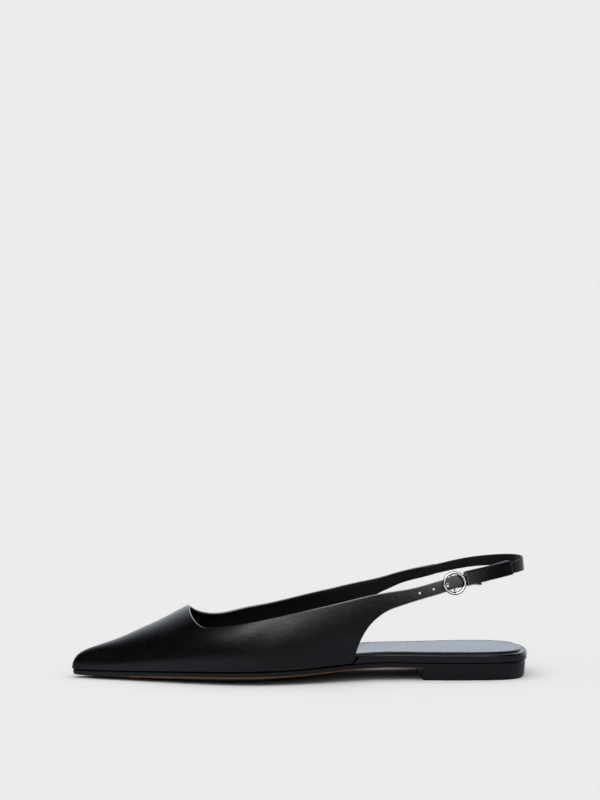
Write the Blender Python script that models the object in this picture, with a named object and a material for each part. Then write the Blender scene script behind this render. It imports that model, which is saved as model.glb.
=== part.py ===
"""A left sling back flat for women: pointed toe, low stacked heel and a buckled sling.

The toe points to -X, the lateral side faces -Y, and the shoe stands on z = 0.
Distances along the shoe are measured forward from the back of the heel.
Every leather piece lies on one last: the outline under the foot, the body over it
and the sling round the back are all read from the tables below.
"""

import math

import bpy
import bmesh
import numpy as np
from mathutils import Matrix, Vector

# Main sizes of the last and the bottom
LENGTH = 0.2634
BALL_WIDTH = 0.0745
HEEL_HEIGHT = 0.0070
HEEL_LENGTH = 0.0624
HEEL_TAPER = 0.0007
SOLE_EDGE = 0.0030
SOLE_STEP = 0.0008
SOLE_SPREAD = 1.2
VAMP_RISE = 0.0345
FULLNESS = 2.3
SWELL_RISE = 0.28

# Leather
WALL = 0.0014
FOOTBED_HEEL = 0.0047
FOOTBED_FRONT = 0.0022
RIM_ROUND = 0.0010
RIM_CHAMFER = 0.0003
SOCK_THICKNESS = 0.0008
SOCK_MARGIN = 0.0032
NARROW_HALF_WIDTH = 0.0060
STEP_LEAD = 0.0021
GAP = 0.0003

# Sling
SLING_BACK = 0.0006
SLING_LEAN = 0.12
SLING_LEAN_REACH = 0.018
STRAP_WIDTH = 0.0073
STRAP_END_WIDTH = 0.0065
STRAP_LIFT = 0.00075
STRAP_LIFT_REACH = 0.0045
STRAP_POINT = 0.0060
STRAP_END = 0.0288
MEDIAL_END = 0.0507
MEDIAL_END_WIDTH = 0.0063
BAND_WIDTH = 0.0056
BAND_BACK_WIDTH = 0.0080
BAND_BACK_LIFT = 0.0007
BAND_THICKNESS = 0.0012
BAND_LAP = 0.0060

# How far round from the heel the band stays wide, lateral and medial (radians of turn)
BAND_SPREAD = (0.30, 0.55)
SLEEVE_FRONT = 0.0377
SLEEVE_LENGTH = 0.0267
SLEEVE_LEATHER = 0.0008
SLEEVE_OVERHANG = 0.0008
SLEEVE_FOLD = 0.0014

# Buckle
BUCKLE_PLACE = 0.0451
RING_DIAMETER = 0.01375
RING_WIRE = 0.0018
RING_CLEARANCE = 0.00045
BAR_DIAMETER = 0.0011
PRONG_DIAMETER = 0.0008
PRONG_HOLE = 0.0022
PUNCHED_HOLE = 0.0013
HOLE_PITCH = 0.0081
SPARE_HOLES = 2

# How finely the forms are drawn
RIBS_BEHIND = 22
RIBS_ALONG = 44
RIB_STEPS = 9
TOE_FAN = 0.3
RUNGS = 36
RUNG_STEPS = 6
BAND_RUNGS = 48
SLEEVE_RUNGS = 18
SLEEVE_FOLD_STEPS = 6
TUBE_SIDES = 8
TINY_AREA = 1e-15
RING_STEPS = 36

# Outline of the last's bottom: from the heel (share of length),
# then the lateral and the medial half widths (shares of ball width)
OUTLINE = (
    (0.000, 0.000, 0.000),
    (0.004, 0.148, 0.148),
    (0.019, 0.268, 0.275),
    (0.045, 0.333, 0.340),
    (0.090, 0.358, 0.370),
    (0.150, 0.355, 0.372),
    (0.225, 0.335, 0.340),
    (0.300, 0.322, 0.305),
    (0.370, 0.352, 0.303),
    (0.440, 0.420, 0.352),
    (0.520, 0.487, 0.432),
    (0.590, 0.510, 0.480),
    (0.650, 0.487, 0.492),
    (0.720, 0.416, 0.455),
    (0.790, 0.325, 0.370),
    (0.860, 0.224, 0.258),
    (0.920, 0.140, 0.155),
    (0.970, 0.072, 0.077),
    (1.000, 0.000, 0.000),
)

# Body of the last: from the heel (share of length), lateral and medial half widths
# (shares of ball width), height above the feather edge (share of vamp rise)
BODY = (
    (0.000, 0.000, 0.000, 2.26),
    (0.038, 0.235, 0.235, 2.26),
    (0.090, 0.350, 0.350, 2.26),
    (0.135, 0.395, 0.395, 2.26),
    (0.220, 0.418, 0.418, 2.24),
    (0.300, 0.425, 0.418, 2.22),
    (0.370, 0.425, 0.410, 2.16),
    (0.440, 0.450, 0.420, 1.96),
    (0.520, 0.492, 0.455, 1.66),
    (0.590, 0.521, 0.490, 1.42),
    (0.650, 0.502, 0.506, 1.215),
    (0.720, 0.433, 0.472, 1.055),
    (0.740, 0.407, 0.449, 1.000),
    (0.790, 0.338, 0.384, 0.822),
    (0.850, 0.248, 0.281, 0.632),
    (0.900, 0.176, 0.194, 0.486),
    (0.940, 0.119, 0.127, 0.393),
    (0.972, 0.072, 0.075, 0.308),
    (0.989, 0.040, 0.040, 0.220),
    (1.000, 0.000, 0.000, 0.000),
)

# Underside of the sole: from the heel (share of length), height at the edge
# and along the middle (shares of heel height); below zero it is trodden flat
UNDERSIDE = (
    (0.00, 1.00, 1.00),
    (0.15, 1.00, 1.00),
    (0.26, 1.02, 1.01),
    (0.33, 1.06, 0.99),
    (0.40, 1.00, 0.80),
    (0.48, 0.82, 0.42),
    (0.55, 0.71, 0.12),
    (0.61, 0.66, -0.11),
    (0.70, 0.58, -0.12),
    (0.78, 0.49, -0.02),
    (0.86, 0.37, 0.07),
    (0.93, 0.29, 0.17),
    (1.00, 0.30, 0.28),
)
DISH_POWER = 3.0

# Top edge of the vamp and quarters, from the lateral side over the throat to the medial
# side: from the heel (share of length), height (share of the body's height there)
TOPLINE = (
    (0.360, 0.517),
    (0.420, 0.512),
    (0.486, 0.539),
    (0.550, 0.569),
    (0.614, 0.599),
    (0.670, 0.633),
    (0.700, 0.653),
    (0.716, 0.685),
    (0.7265, 0.745),
    (0.736, 0.840),
    (0.7415, 0.930),
    (0.743, 1.000),
    (0.7410, 0.945),
    (0.7345, 0.870),
    (0.7240, 0.785),
    (0.7120, 0.725),
    (0.6960, 0.672),
    (0.670, 0.633),
    (0.626, 0.616),
    (0.581, 0.589),
    (0.5365, 0.574),
    (0.4935, 0.563),
    (0.425, 0.538),
    (0.365, 0.538),
)
TOPLINE_CREST = 11

# Rear edge of each quarter, from the strap down to the sole: from the heel (share of
# length), height (share of the body's height there)
LATERAL_REAR = (
    (0.268, 0.455),
    (0.291, 0.430),
    (0.3135, 0.402),
    (0.3355, 0.357),
    (0.3570, 0.289),
    (0.3705, 0.220),
    (0.3795, 0.149),
    (0.3865, 0.074),
    (0.3960, 0.000),
)
MEDIAL_REAR = (
    (0.292, 0.473),
    (0.3155, 0.436),
    (0.3370, 0.389),
    (0.3560, 0.322),
    (0.3705, 0.238),
    (0.3795, 0.156),
    (0.3865, 0.075),
    (0.3960, 0.000),
)
REAR_CORNER = 0.396
REAR_SLANT = 0.010

# Where the strap ends run into the quarters' edges, from the heel (share of length)
LATERAL_STRAP_TOP = (0.200, 0.235, 0.270, 0.310)
LATERAL_STRAP_LOW = (0.200, 0.235)
MEDIAL_STRAP_TOP = (0.310, 0.270, 0.235, MEDIAL_END / LENGTH)
MEDIAL_STRAP_LOW = (MEDIAL_END / LENGTH, 0.235, 0.270)

# Where the bottom pieces change, from the heel (share of length)
SOLE_WIDENS = (0.34, 0.46)
SOLE_TOE = 0.92
FOOTBED_THINS = 0.13
SOCK_NARROWS = (0.336, 0.416)

# Middle line of the sling, from the lateral side round the heel to the medial side:
# side, from the heel (share of length), height (share of the body's height there)
SLING = (
    (-1, 0.340, 0.480),
    (-1, 0.265, 0.512),
    (-1, 0.204, 0.562),
    (-1, 0.138, 0.612),
    (-1, 0.093, 0.640),
    (-1, 0.046, 0.668),
    (0, 0.000, 0.690),
    (1, 0.050, 0.697),
    (1, 0.093, 0.684),
    (1, 0.137, 0.660),
    (1, 0.181, 0.628),
    (1, 0.225, 0.596),
    (1, 0.270, 0.556),
    (1, 0.320, 0.505),
)
SLING_MIDDLE = 6

# Shape of the strap's cut end: back from the tip (share of the point's length),
# width (share of the end width), how far it hangs (share of the end width)
STRAP_TIP = (
    (0.00, 0.10, 0.20),
    (0.25, 0.42, 0.17),
    (0.50, 0.68, 0.10),
    (0.75, 0.88, 0.04),
    (1.00, 1.00, 0.00),
)

COLOURS = {
    "upper": ((0.008, 0.008, 0.010), 0.32, 0.0),
    "outsole": ((0.010, 0.010, 0.012), 0.45, 0.0),
    "heel": ((0.009, 0.009, 0.011), 0.40, 0.0),
    "footbed": ((0.009, 0.009, 0.011), 0.35, 0.0),
    "sock": ((0.018, 0.018, 0.022), 0.40, 0.0),
    "back_strap": ((0.008, 0.008, 0.010), 0.40, 0.0),
    "strap_sleeve": ((0.008, 0.008, 0.010), 0.38, 0.0),
    "buckle_ring": ((0.75, 0.76, 0.78), 0.12, 1.0),
    "buckle_prong": ((0.72, 0.73, 0.75), 0.15, 1.0),
}


def spline(knots, values):
    """A natural cubic spline through rows of values."""
    x = np.asarray(knots, float)
    y = np.asarray(values, float)
    step = np.diff(x)
    count = len(x)
    matrix = np.zeros((count, count))
    right = np.zeros_like(y)
    matrix[0, 0] = 1.0
    matrix[-1, -1] = 1.0
    for i in range(1, count - 1):
        matrix[i, i - 1 : i + 2] = step[i - 1], 2 * (step[i - 1] + step[i]), step[i]
        right[i] = 3 * ((y[i + 1] - y[i]) / step[i] - (y[i] - y[i - 1]) / step[i - 1])
    bend = np.linalg.solve(matrix, right)

    def at(q):
        i = int(min(max(np.searchsorted(x, q) - 1, 0), count - 2))
        t = q - x[i]
        slope = (y[i + 1] - y[i]) / step[i] - step[i] * (2 * bend[i] + bend[i + 1]) / 3
        curve = (bend[i + 1] - bend[i]) / (3 * step[i])
        return y[i] + t * (slope + t * (bend[i] + t * curve))

    return at


def smoothstep(low, high, value):
    t = min(max((value - low) / (high - low), 0.0), 1.0)
    return t * t * (3 - 2 * t)


def turn(share):
    """Both ends of the shoe are round, so its length is read as a half turn."""
    return math.acos(1 - 2 * min(max(share, 0.0), 1.0))


outline_at = spline([turn(row[0]) for row in OUTLINE], [row[1:] for row in OUTLINE])
body_at = spline([turn(row[0]) for row in BODY], [row[1:] for row in BODY])
underside_at = spline([turn(row[0]) for row in UNDERSIDE], [row[1:] for row in UNDERSIDE])


def feather(along):
    """Height of the edge where upper and sole meet."""
    return HEEL_HEIGHT * underside_at(turn(along / LENGTH))[0] + SOLE_EDGE + GAP


def half_width(along, side):
    return max(0.0, BALL_WIDTH * outline_at(turn(along / LENGTH))[0 if side < 0 else 1])


def sole_underside(along, y):
    """Height of the sole's underside, dished across and trodden flat under the ball."""
    edge, middle = underside_at(turn(along / LENGTH))
    half = half_width(along, y)
    out = min(1.0, abs(y) / half) if half > GAP else 1.0
    return max(0.0, HEEL_HEIGHT * (middle + (edge - middle) * out**DISH_POWER))


def sole_top(along, y):
    return sole_underside(along, y) + SOLE_EDGE


def body_turn(along):
    return turn((along - SLING_BACK) / (LENGTH - SLING_BACK))


def rise_of(angle):
    """Height share of a point that lies at an angle round the section."""
    return math.sin(angle) ** (2 / FULLNESS)


def angle_of(rise, side):
    angle = math.asin(min(1.0, max(rise, 0.0)) ** (FULLNESS / 2))
    return angle if side < 0 else math.pi - angle


def body_height(turned):
    return VAMP_RISE * body_at(turned)[2]


def on_body(turned, angle):
    """A point of the upper's outer face: turned runs from heel to toe and is negative
    on the lateral side round the back, angle runs over the foot from side to side."""
    around = abs(turned)
    side = -1 if angle <= math.pi / 2 else 1
    column = 0 if side < 0 else 1
    rise = rise_of(angle)
    along = SLING_BACK + (LENGTH - SLING_BACK) * (1 - math.cos(around)) / 2
    foot = outline_at(turn(along / LENGTH))[column]
    widths = body_at(around)
    swell = 1 - max(0.0, 1 - rise / SWELL_RISE) ** 2
    half = BALL_WIDTH * (foot + (widths[column] - foot) * swell)
    half *= abs(math.cos(angle)) ** (2 / FULLNESS)
    z = feather(along) + body_height(around) * rise
    back = HEEL_HEIGHT + body_height(0) * SLING[SLING_MIDDLE][2]
    lean = SLING_LEAN * (z - back) * math.exp(-along / SLING_LEAN_REACH)
    return np.array((LENGTH / 2 - along - lean, side * half, z))


def on_sling(around, rise):
    """A point of the body's outer face beside the heel; around is negative on the
    lateral side, zero at the back and positive on the medial side."""
    if around < 0:
        return on_body(-around, angle_of(rise, -1))
    return on_body(around, angle_of(rise, 1))


def unit(vector):
    return vector / np.linalg.norm(vector)


def sling_turn(side, along):
    return side * body_turn(along)


sling_rise_at = spline(
    [side * turn(share) for side, share, rise in SLING],
    [rise for side, share, rise in SLING],
)


def sling_frame(around, height=0.0, out=0.0):
    """A point beside the sling's middle line, height up the strap and out from the
    body's face, with the directions backwards or forwards along it, up it and outwards."""
    tiny = 0.002
    rise = sling_rise_at(around)
    here = on_sling(around, rise)
    ahead = on_sling(around + tiny, sling_rise_at(around + tiny))
    behind = on_sling(around - tiny, sling_rise_at(around - tiny))
    along = unit(ahead - behind)
    up = on_sling(around, rise + tiny) - on_sling(around, rise - tiny)
    normal = unit(np.cross(along, up))
    up = np.cross(normal, along)
    return here + up * height + normal * out, along, up, normal


def grid_of(rows):
    return np.array(rows, float)


def normals_of(grid):
    """Outward directions of a grid of points, from its neighbours; where the grid closes
    to a point, at the toe, they look forward."""
    along = np.gradient(grid, axis=0)
    down = np.gradient(grid, axis=1)
    normal = np.cross(along, down)
    size = np.linalg.norm(normal, axis=2, keepdims=True)
    return np.where(size > 0, normal / np.maximum(size, TINY_AREA), (-1.0, 0.0, 0.0))


def rim_of(grid):
    """The points round the edge of a grid, in order."""
    rows, columns = grid.shape[:2]
    loop = [grid[i, 0] for i in range(rows)]
    loop += [grid[rows - 1, j] for j in range(1, columns)]
    loop += [grid[i, columns - 1] for i in range(rows - 2, -1, -1)]
    loop += [grid[0, j] for j in range(columns - 2, 0, -1)]
    return loop


class Skin:
    """Collects faces and joins the corners that share a place."""

    def __init__(self):
        self.mesh = bmesh.new()
        self.corners = {}

    def corner(self, point):
        key = tuple(int(round(c * 1e7)) for c in point)
        if key not in self.corners:
            self.corners[key] = self.mesh.verts.new(point)
        return self.corners[key]

    def face(self, *points):
        corners = []
        for point in points:
            corner = self.corner(point)
            if corner not in corners:
                corners.append(corner)
        if len(corners) > 2:
            self.mesh.faces.new(corners)

    def sheet(self, grid):
        for i in range(grid.shape[0] - 1):
            for j in range(grid.shape[1] - 1):
                self.face(grid[i, j], grid[i + 1, j], grid[i + 1, j + 1], grid[i, j + 1])

    def wall(self, low, high):
        for i in range(len(low)):
            self.face(low[i - 1], low[i], high[i], high[i - 1])

    def finish(self, name, sharp=40):
        bmesh.ops.recalc_face_normals(self.mesh, faces=self.mesh.faces)
        data = bpy.data.meshes.new(name)
        self.mesh.to_mesh(data)
        self.mesh.free()
        data.shade_smooth()
        data.set_sharp_from_angle(angle=math.radians(sharp))
        thing = bpy.data.objects.new(name, data)
        bpy.context.collection.objects.link(thing)
        return thing


def stack(name, *grids):
    """A closed solid between the first and the last grid, through the edges between."""
    skin = Skin()
    skin.sheet(grids[0])
    skin.sheet(grids[-1])
    rims = [rim_of(grid) for grid in grids]
    for low, high in zip(rims, rims[1:]):
        skin.wall(low, high)
    return skin.finish(name)


def tube(name, points, radius, closed=False):
    """A round wire through points that lie close together."""
    path = np.array(points, float)
    if closed:
        ahead = np.roll(path, -1, axis=0) - np.roll(path, 1, axis=0)
    else:
        ahead = np.gradient(path, axis=0)
    flat = unit(np.cross(ahead[0], ahead[len(ahead) // 3]))
    rings = []
    for place, direction in zip(path, ahead):
        direction = unit(direction)
        side = unit(np.cross(flat, direction))
        lift = np.cross(direction, side)
        turns = [2 * math.pi * (k + 0.5) / TUBE_SIDES for k in range(TUBE_SIDES)]
        rings.append([place + radius * (math.cos(a) * side + math.sin(a) * lift) for a in turns])
    skin = Skin()
    for i in range(0 if closed else 1, len(rings)):
        skin.wall(rings[i - 1], rings[i])
    if not closed:
        skin.face(*rings[0])
        skin.face(*reversed(rings[-1]))
    return skin.finish(name)


def cut(target, tool, operation="DIFFERENCE"):
    """A Boolean with a tool that only guides the cut or the join."""
    tool.hide_render = True
    tool.display_type = "WIRE"
    change = target.modifiers.new(tool.name, "BOOLEAN")
    change.operation = operation
    change.solver = "EXACT"
    change.object = tool


def rung(turned, inset, height, steps=RUNG_STEPS):
    """Points from the lateral to the medial edge of the outline, drawn in by inset;
    height gives z from the place along the shoe and across it."""
    along = inset + (LENGTH - 2 * inset) * (1 - math.cos(turned)) / 2
    ends = []
    for column, side in ((0, -1), (1, 1)):
        half = max(0.0, BALL_WIDTH * outline_at(turned)[column])
        ends.append(side * max(0.0, half - inset * math.tanh(half / NARROW_HALF_WIDTH)))
    row = []
    for j in range(steps + 1):
        y = ends[0] + (ends[1] - ends[0]) * (1 - math.cos(math.pi * j / steps)) / 2
        row.append((LENGTH / 2 - along, y, height(along, y)))
    return row


def turned_stations(low=0.0, high=math.pi, count=RUNGS):
    return [low + (high - low) * i / count for i in range(count + 1)]


def outsole_inset(turned):
    """The sole stands back a little under the heel seat and out a little under the upper."""
    share = (1 - math.cos(turned)) / 2
    wide = smoothstep(*SOLE_WIDENS, share)
    return SOLE_STEP * (1 - SOLE_SPREAD * wide + smoothstep(SOLE_TOE, 1.0, share))


def make_outsole():
    def plane(height):
        rows = [rung(q, outsole_inset(q), height) for q in turned_stations()]
        return grid_of(rows)

    return stack("outsole", plane(sole_underside), plane(sole_top))


def make_heel():
    """The low stacked heel, with a straight breast and a slightly smaller base."""
    stations = turned_stations(0.0, turn(HEEL_LENGTH / LENGTH), RUNGS // 2)

    def plane(inset, height):
        rows = [rung(q, inset, height) for q in stations]
        grid = grid_of(rows)
        grid[-1, :, 0] = LENGTH / 2 - HEEL_LENGTH
        return grid

    base = plane(SOLE_STEP + HEEL_TAPER, lambda along, y: 0.0)
    top = plane(SOLE_STEP, lambda along, y: sole_underside(along, y) - GAP)
    return stack("heel", base, top)


def footbed_top(along, y):
    share = along / LENGTH
    front = smoothstep(REAR_CORNER, REAR_CORNER + FOOTBED_THINS, share)
    return sole_top(along, y) + GAP + FOOTBED_HEEL + (FOOTBED_FRONT - FOOTBED_HEEL) * front


def footbed_stations(step):
    """The footbed steps in where the quarters stand on the sole."""
    half = RUNGS // 2
    behind = [(q, 0.0) for q in turned_stations(0.0, turn(step), half - 2)]
    inset = WALL + 2 * GAP
    ahead = [(q, inset) for q in turned_stations(turn(step + GAP / LENGTH), math.pi, half + 2)]
    return behind + ahead


def make_footbed():
    """The wrapped board that the foot stands on; its edge shows behind the quarters."""
    low_step = REAR_CORNER - STEP_LEAD / LENGTH
    high_step = low_step - REAR_SLANT

    def plane(draw_in, height, step=high_step):
        rows = [rung(q, inset + draw_in, height) for q, inset in footbed_stations(step)]
        return grid_of(rows)

    levels = (
        plane(0.0, lambda along, y: sole_top(along, y) + GAP, low_step),
        plane(0.0, lambda along, y: footbed_top(along, y) - RIM_ROUND),
        plane(RIM_CHAMFER, lambda along, y: footbed_top(along, y) - RIM_CHAMFER),
        plane(RIM_ROUND, footbed_top),
    )
    return stack("footbed", *levels)


def sock_inset(turned):
    share = (1 - math.cos(turned)) / 2
    front = smoothstep(*SOCK_NARROWS, share)
    return SOCK_MARGIN + (WALL + RIM_ROUND - SOCK_MARGIN / 3) * front


def make_sock():
    """The thin leather sock glued on the footbed, a little inside its rim."""

    def plane(lift):
        rows = []
        for q in turned_stations(count=RUNGS - 4):
            rows.append(rung(q, sock_inset(q), lambda x, y: footbed_top(x, y) + lift))
        return grid_of(rows)

    return stack("sock", plane(GAP), plane(GAP + SOCK_THICKNESS))


def strap_width(along):
    """The lateral strap narrows a little where it slips into the sleeve."""
    full = smoothstep(SLEEVE_FRONT, SLEEVE_FRONT + STRAP_LIFT_REACH, along)
    return STRAP_END_WIDTH + (STRAP_WIDTH - STRAP_END_WIDTH) * full


def strap_lift(along):
    """The lateral strap rides up in the ring."""
    return STRAP_LIFT * math.exp(-(((along - BUCKLE_PLACE) / STRAP_LIFT_REACH) ** 2))


def medial_width(along):
    """The medial strap narrows to meet the elastic band."""
    full = smoothstep(MEDIAL_END, MEDIAL_END + 3 * STRAP_WIDTH, along)
    return MEDIAL_END_WIDTH + (STRAP_WIDTH - MEDIAL_END_WIDTH) * full


def strap_edges(side, along):
    """Turned and angle of the strap's top and bottom edges at a place along the shoe."""
    around = sling_turn(side, along)
    width = strap_width(along) if side < 0 else medial_width(along)
    lift = strap_lift(along) if side < 0 else 0.0
    if side < 0 and along < STRAP_END + STRAP_POINT:
        back = (along - STRAP_END) / STRAP_POINT
        spread, drop = strap_tip_at(back)
        lift -= 0.5 * width * (1 - spread) + width * drop
        width *= spread
    height = body_height(abs(around))
    slope = (sling_rise_at(around + 0.01) - sling_rise_at(around - 0.01)) * height
    step = abs(body_along(abs(around) + 0.01) - body_along(abs(around) - 0.01))
    tall = math.hypot(1.0, slope / step) / height
    middle = sling_rise_at(around) + lift * tall
    edges = (middle + 0.5 * width * tall, middle - 0.5 * width * tall)
    return [(abs(around), angle_of(rise, side)) for rise in edges]


def body_along(turned):
    return SLING_BACK + (LENGTH - SLING_BACK) * (1 - math.cos(turned)) / 2


strap_tip_at = spline([row[0] for row in STRAP_TIP], [row[1:] for row in STRAP_TIP])


def chain(rows):
    """A smooth line through (turned, angle) rows, read by its length from 0 to 1."""
    points = [on_body(*row) for row in rows]
    steps = [np.linalg.norm(b - a) for a, b in zip(points, points[1:])]
    marks = np.concatenate(([0.0], np.cumsum(steps))) / sum(steps)
    return spline(marks, rows), marks


def edge_rows(table, side):
    return [(body_turn(share * LENGTH), angle_of(rise, side)) for share, rise in table]


def topline():
    """The top edge's three stretches: lateral strap, quarters and vamp, medial strap."""
    lateral = [strap_edges(-1, share * LENGTH)[0] for share in LATERAL_STRAP_TOP]
    medial = [strap_edges(1, share * LENGTH)[0] for share in MEDIAL_STRAP_TOP]
    front = edge_rows(TOPLINE[: TOPLINE_CREST + 1], -1)
    back = edge_rows(TOPLINE[TOPLINE_CREST + 1 :], 1)
    return lateral, front + back, medial


def upper_ribs():
    """Pairs of (turned, angle) ends of the lines that cross the upper, from the tip of the
    lateral strap forward round the toe and back to the end of the medial strap."""
    lateral, middle, medial = topline()
    top_at, marks = chain(lateral + middle + medial)
    ribs = []

    tip_places = [STRAP_END + STRAP_POINT * row[0] for row in STRAP_TIP]
    half_reach = STRAP_LIFT_REACH / 2
    ring_places = [BUCKLE_PLACE + half_reach * step for step in (-2, -1, 0, 1, 2)]
    for place in tip_places + [SLEEVE_FRONT] + ring_places:
        ribs.append(strap_edges(-1, place))
    rear = [strap_edges(-1, share * LENGTH)[1] for share in LATERAL_STRAP_LOW]
    low_at, _ = chain(rear + edge_rows(LATERAL_REAR, -1))
    start, corner = marks[0], marks[len(lateral) + 1]
    for i in range(RIBS_BEHIND + 1):
        t = i / RIBS_BEHIND
        ribs.append((top_at(start + (corner - start) * t), low_at(t)))

    first_low = body_turn(REAR_CORNER * LENGTH)
    far_corner = marks[-1 - len(medial) - 1]
    for i in range(1, RIBS_ALONG):
        t = i / RIBS_ALONG
        top = top_at(corner + (far_corner - corner) * t)
        ahead = (1 - abs(2 * t - 1)) / (1 - TOE_FAN)
        low = first_low + (math.pi - first_low) * min(1.0, ahead)
        angle = math.pi / 2 * max(0.0, ahead - 1) * (1 - TOE_FAN) / TOE_FAN
        ribs.append((top, (low, angle if t <= 0.5 else math.pi - angle)))

    rear = [strap_edges(1, share * LENGTH)[1] for share in MEDIAL_STRAP_LOW]
    low_at, _ = chain(rear + edge_rows(MEDIAL_REAR, 1))
    for i in range(RIBS_BEHIND + 1):
        t = 1 - i / RIBS_BEHIND
        ribs.append((top_at(marks[-1] + (far_corner - marks[-1]) * t), low_at(t)))
    return ribs


def make_upper():
    """Vamp, quarters and both strap ends: one leather wall, open above, behind and below."""
    rows = []
    for top, low in upper_ribs():
        top = np.array(top)
        low = np.array(low)
        shares = [j / RIB_STEPS for j in range(RIB_STEPS + 1)]
        rows.append([on_body(*(top + (low - top) * share)) for share in shares])
    outer = grid_of(rows)
    inner = outer - WALL * normals_of(outer)
    inner[:, -1, 2] = np.maximum(inner[:, -1, 2], outer[:, -1, 2])
    upper = stack("upper", inner, outer)
    cut_strap_hole(upper, "prong_hole", 0, PRONG_HOLE)
    for number in range(1, SPARE_HOLES + 1):
        cut_strap_hole(upper, "spare_hole_%d" % number, number, PUNCHED_HOLE)
    return upper


def cut_strap_hole(upper, name, number, diameter):
    """Holes are counted forward from the one that the prong is in."""
    place = BUCKLE_PLACE + prong_hole_reach() + HOLE_PITCH * number
    point, _, _, normal = sling_frame(sling_turn(-1, place))
    cut(upper, round_bar(name, point, normal, diameter / 2, 4 * WALL))


def prong_hole_reach():
    """How far in front of the bar the prong comes through the strap."""
    return 0.5 * (RING_DIAMETER - 2 * RING_WIRE) - PRONG_HOLE / 2 - GAP


def round_bar(name, centre, axis, radius, length, sides=12):
    mesh = bmesh.new()
    bmesh.ops.create_cone(
        mesh, cap_ends=True, segments=sides, radius1=radius, radius2=radius, depth=length
    )
    data = bpy.data.meshes.new(name)
    mesh.to_mesh(data)
    mesh.free()
    bar = bpy.data.objects.new(name, data)
    turned = Vector((0, 0, 1)).rotation_difference(Vector(axis)).to_matrix().to_4x4()
    data.transform(Matrix.Translation(Vector(centre)) @ turned)
    bpy.context.collection.objects.link(bar)
    return bar


def band_depth():
    """Outer face of the back strap, behind the lateral strap's wall."""
    return -(WALL + GAP)


def bar_depth():
    """The bar sits low enough for the prong's loop and the band's eye to clear the strap."""
    loop = BAR_DIAMETER / 2 + GAP + PRONG_DIAMETER
    return band_depth() - loop


def buckle_frame():
    return sling_frame(sling_turn(-1, BUCKLE_PLACE))


def in_buckle(back, up, out):
    """A point near the buckle: back along the strap, up it, and out from its face."""
    centre, along, lift, normal = buckle_frame()
    return centre + along * back + lift * up + normal * out


def band_edges(around):
    """Bottom and top of the elastic back strap, which is widest at the back of the heel."""
    back = math.exp(-((around / BAND_SPREAD[0 if around < 0 else 1]) ** 2))
    half = (BAND_WIDTH + (BAND_BACK_WIDTH - BAND_WIDTH) * back) / 2
    return BAND_BACK_LIFT * back - half, BAND_BACK_LIFT * back + half


def make_back_strap():
    """The band round the heel: an eye on the buckle's bar at one end, lapped inside the
    medial strap at the other."""
    first = sling_turn(-1, BUCKLE_PLACE)
    last = sling_turn(1, MEDIAL_END + BAND_LAP)
    faces = []
    for depth in (band_depth() - BAND_THICKNESS, band_depth()):
        rows = []
        for i in range(BAND_RUNGS + 1):
            around = first + (last - first) * i / BAND_RUNGS
            low, high = band_edges(around)
            heights = [low + (high - low) * j / 3 for j in range(4)]
            rows.append([sling_frame(around, height, depth)[0] for height in heights])
        faces.append(grid_of(rows))
    band = stack("back_strap", *faces)
    centre = in_buckle(0.0, 0.0, bar_depth())
    lift = buckle_frame()[2]
    eye = round_bar("band_eye", centre, lift, band_depth() - bar_depth(), BAND_WIDTH)
    hole = round_bar("band_eye_hole", centre, lift, BAR_DIAMETER / 2 + GAP, 2 * BAND_WIDTH)
    slot_radius = band_depth() - bar_depth() + 2 * GAP
    slot = round_bar("band_slot", centre, lift, slot_radius, PRONG_DIAMETER + 2 * GAP)
    cut(band, eye, "UNION")
    cut(band, hole)
    cut(band, slot)
    return band


def sleeve_profile(shift):
    """The folded sleeve across the strap, as (height, out) pairs; shift moves the line
    from the middle of the leather to either face."""
    outside = GAP + SLEEVE_LEATHER / 2
    inside = band_depth() - BAND_THICKNESS - GAP - SLEEVE_LEATHER / 2
    middle = (outside + inside) / 2
    reach = (outside - inside) / 2 + shift
    fold = SLEEVE_FOLD + shift
    shoulder = STRAP_WIDTH / 2 + SLEEVE_OVERHANG - SLEEVE_LEATHER / 2 - SLEEVE_FOLD
    bottom = -STRAP_END_WIDTH / 2
    rows = [(bottom, middle + reach), (bottom / 4, middle + reach)]
    for k in range(SLEEVE_FOLD_STEPS + 1):
        angle = math.pi * k / SLEEVE_FOLD_STEPS
        across = math.copysign(math.sqrt(abs(math.cos(angle))), math.cos(angle))
        rows.append((shoulder + fold * math.sqrt(math.sin(angle)), middle + reach * across))
    rows += [(bottom / 4, middle - reach), (bottom, middle - reach)]
    return rows


def make_sleeve():
    """The leather sleeve folded over both straps behind the buckle."""
    faces = []
    for shift in (-SLEEVE_LEATHER / 2, SLEEVE_LEATHER / 2):
        rows = []
        first = sling_turn(-1, SLEEVE_FRONT)
        last = sling_turn(-1, SLEEVE_FRONT - SLEEVE_LENGTH)
        for i in range(SLEEVE_RUNGS + 1):
            around = first + (last - first) * i / SLEEVE_RUNGS
            rows.append([sling_frame(around, height, out)[0] for height, out in sleeve_profile(shift)])
        faces.append(grid_of(rows))
    return stack("strap_sleeve", *faces)


def ring_depth():
    return RING_CLEARANCE + RING_WIRE / 2


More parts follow.
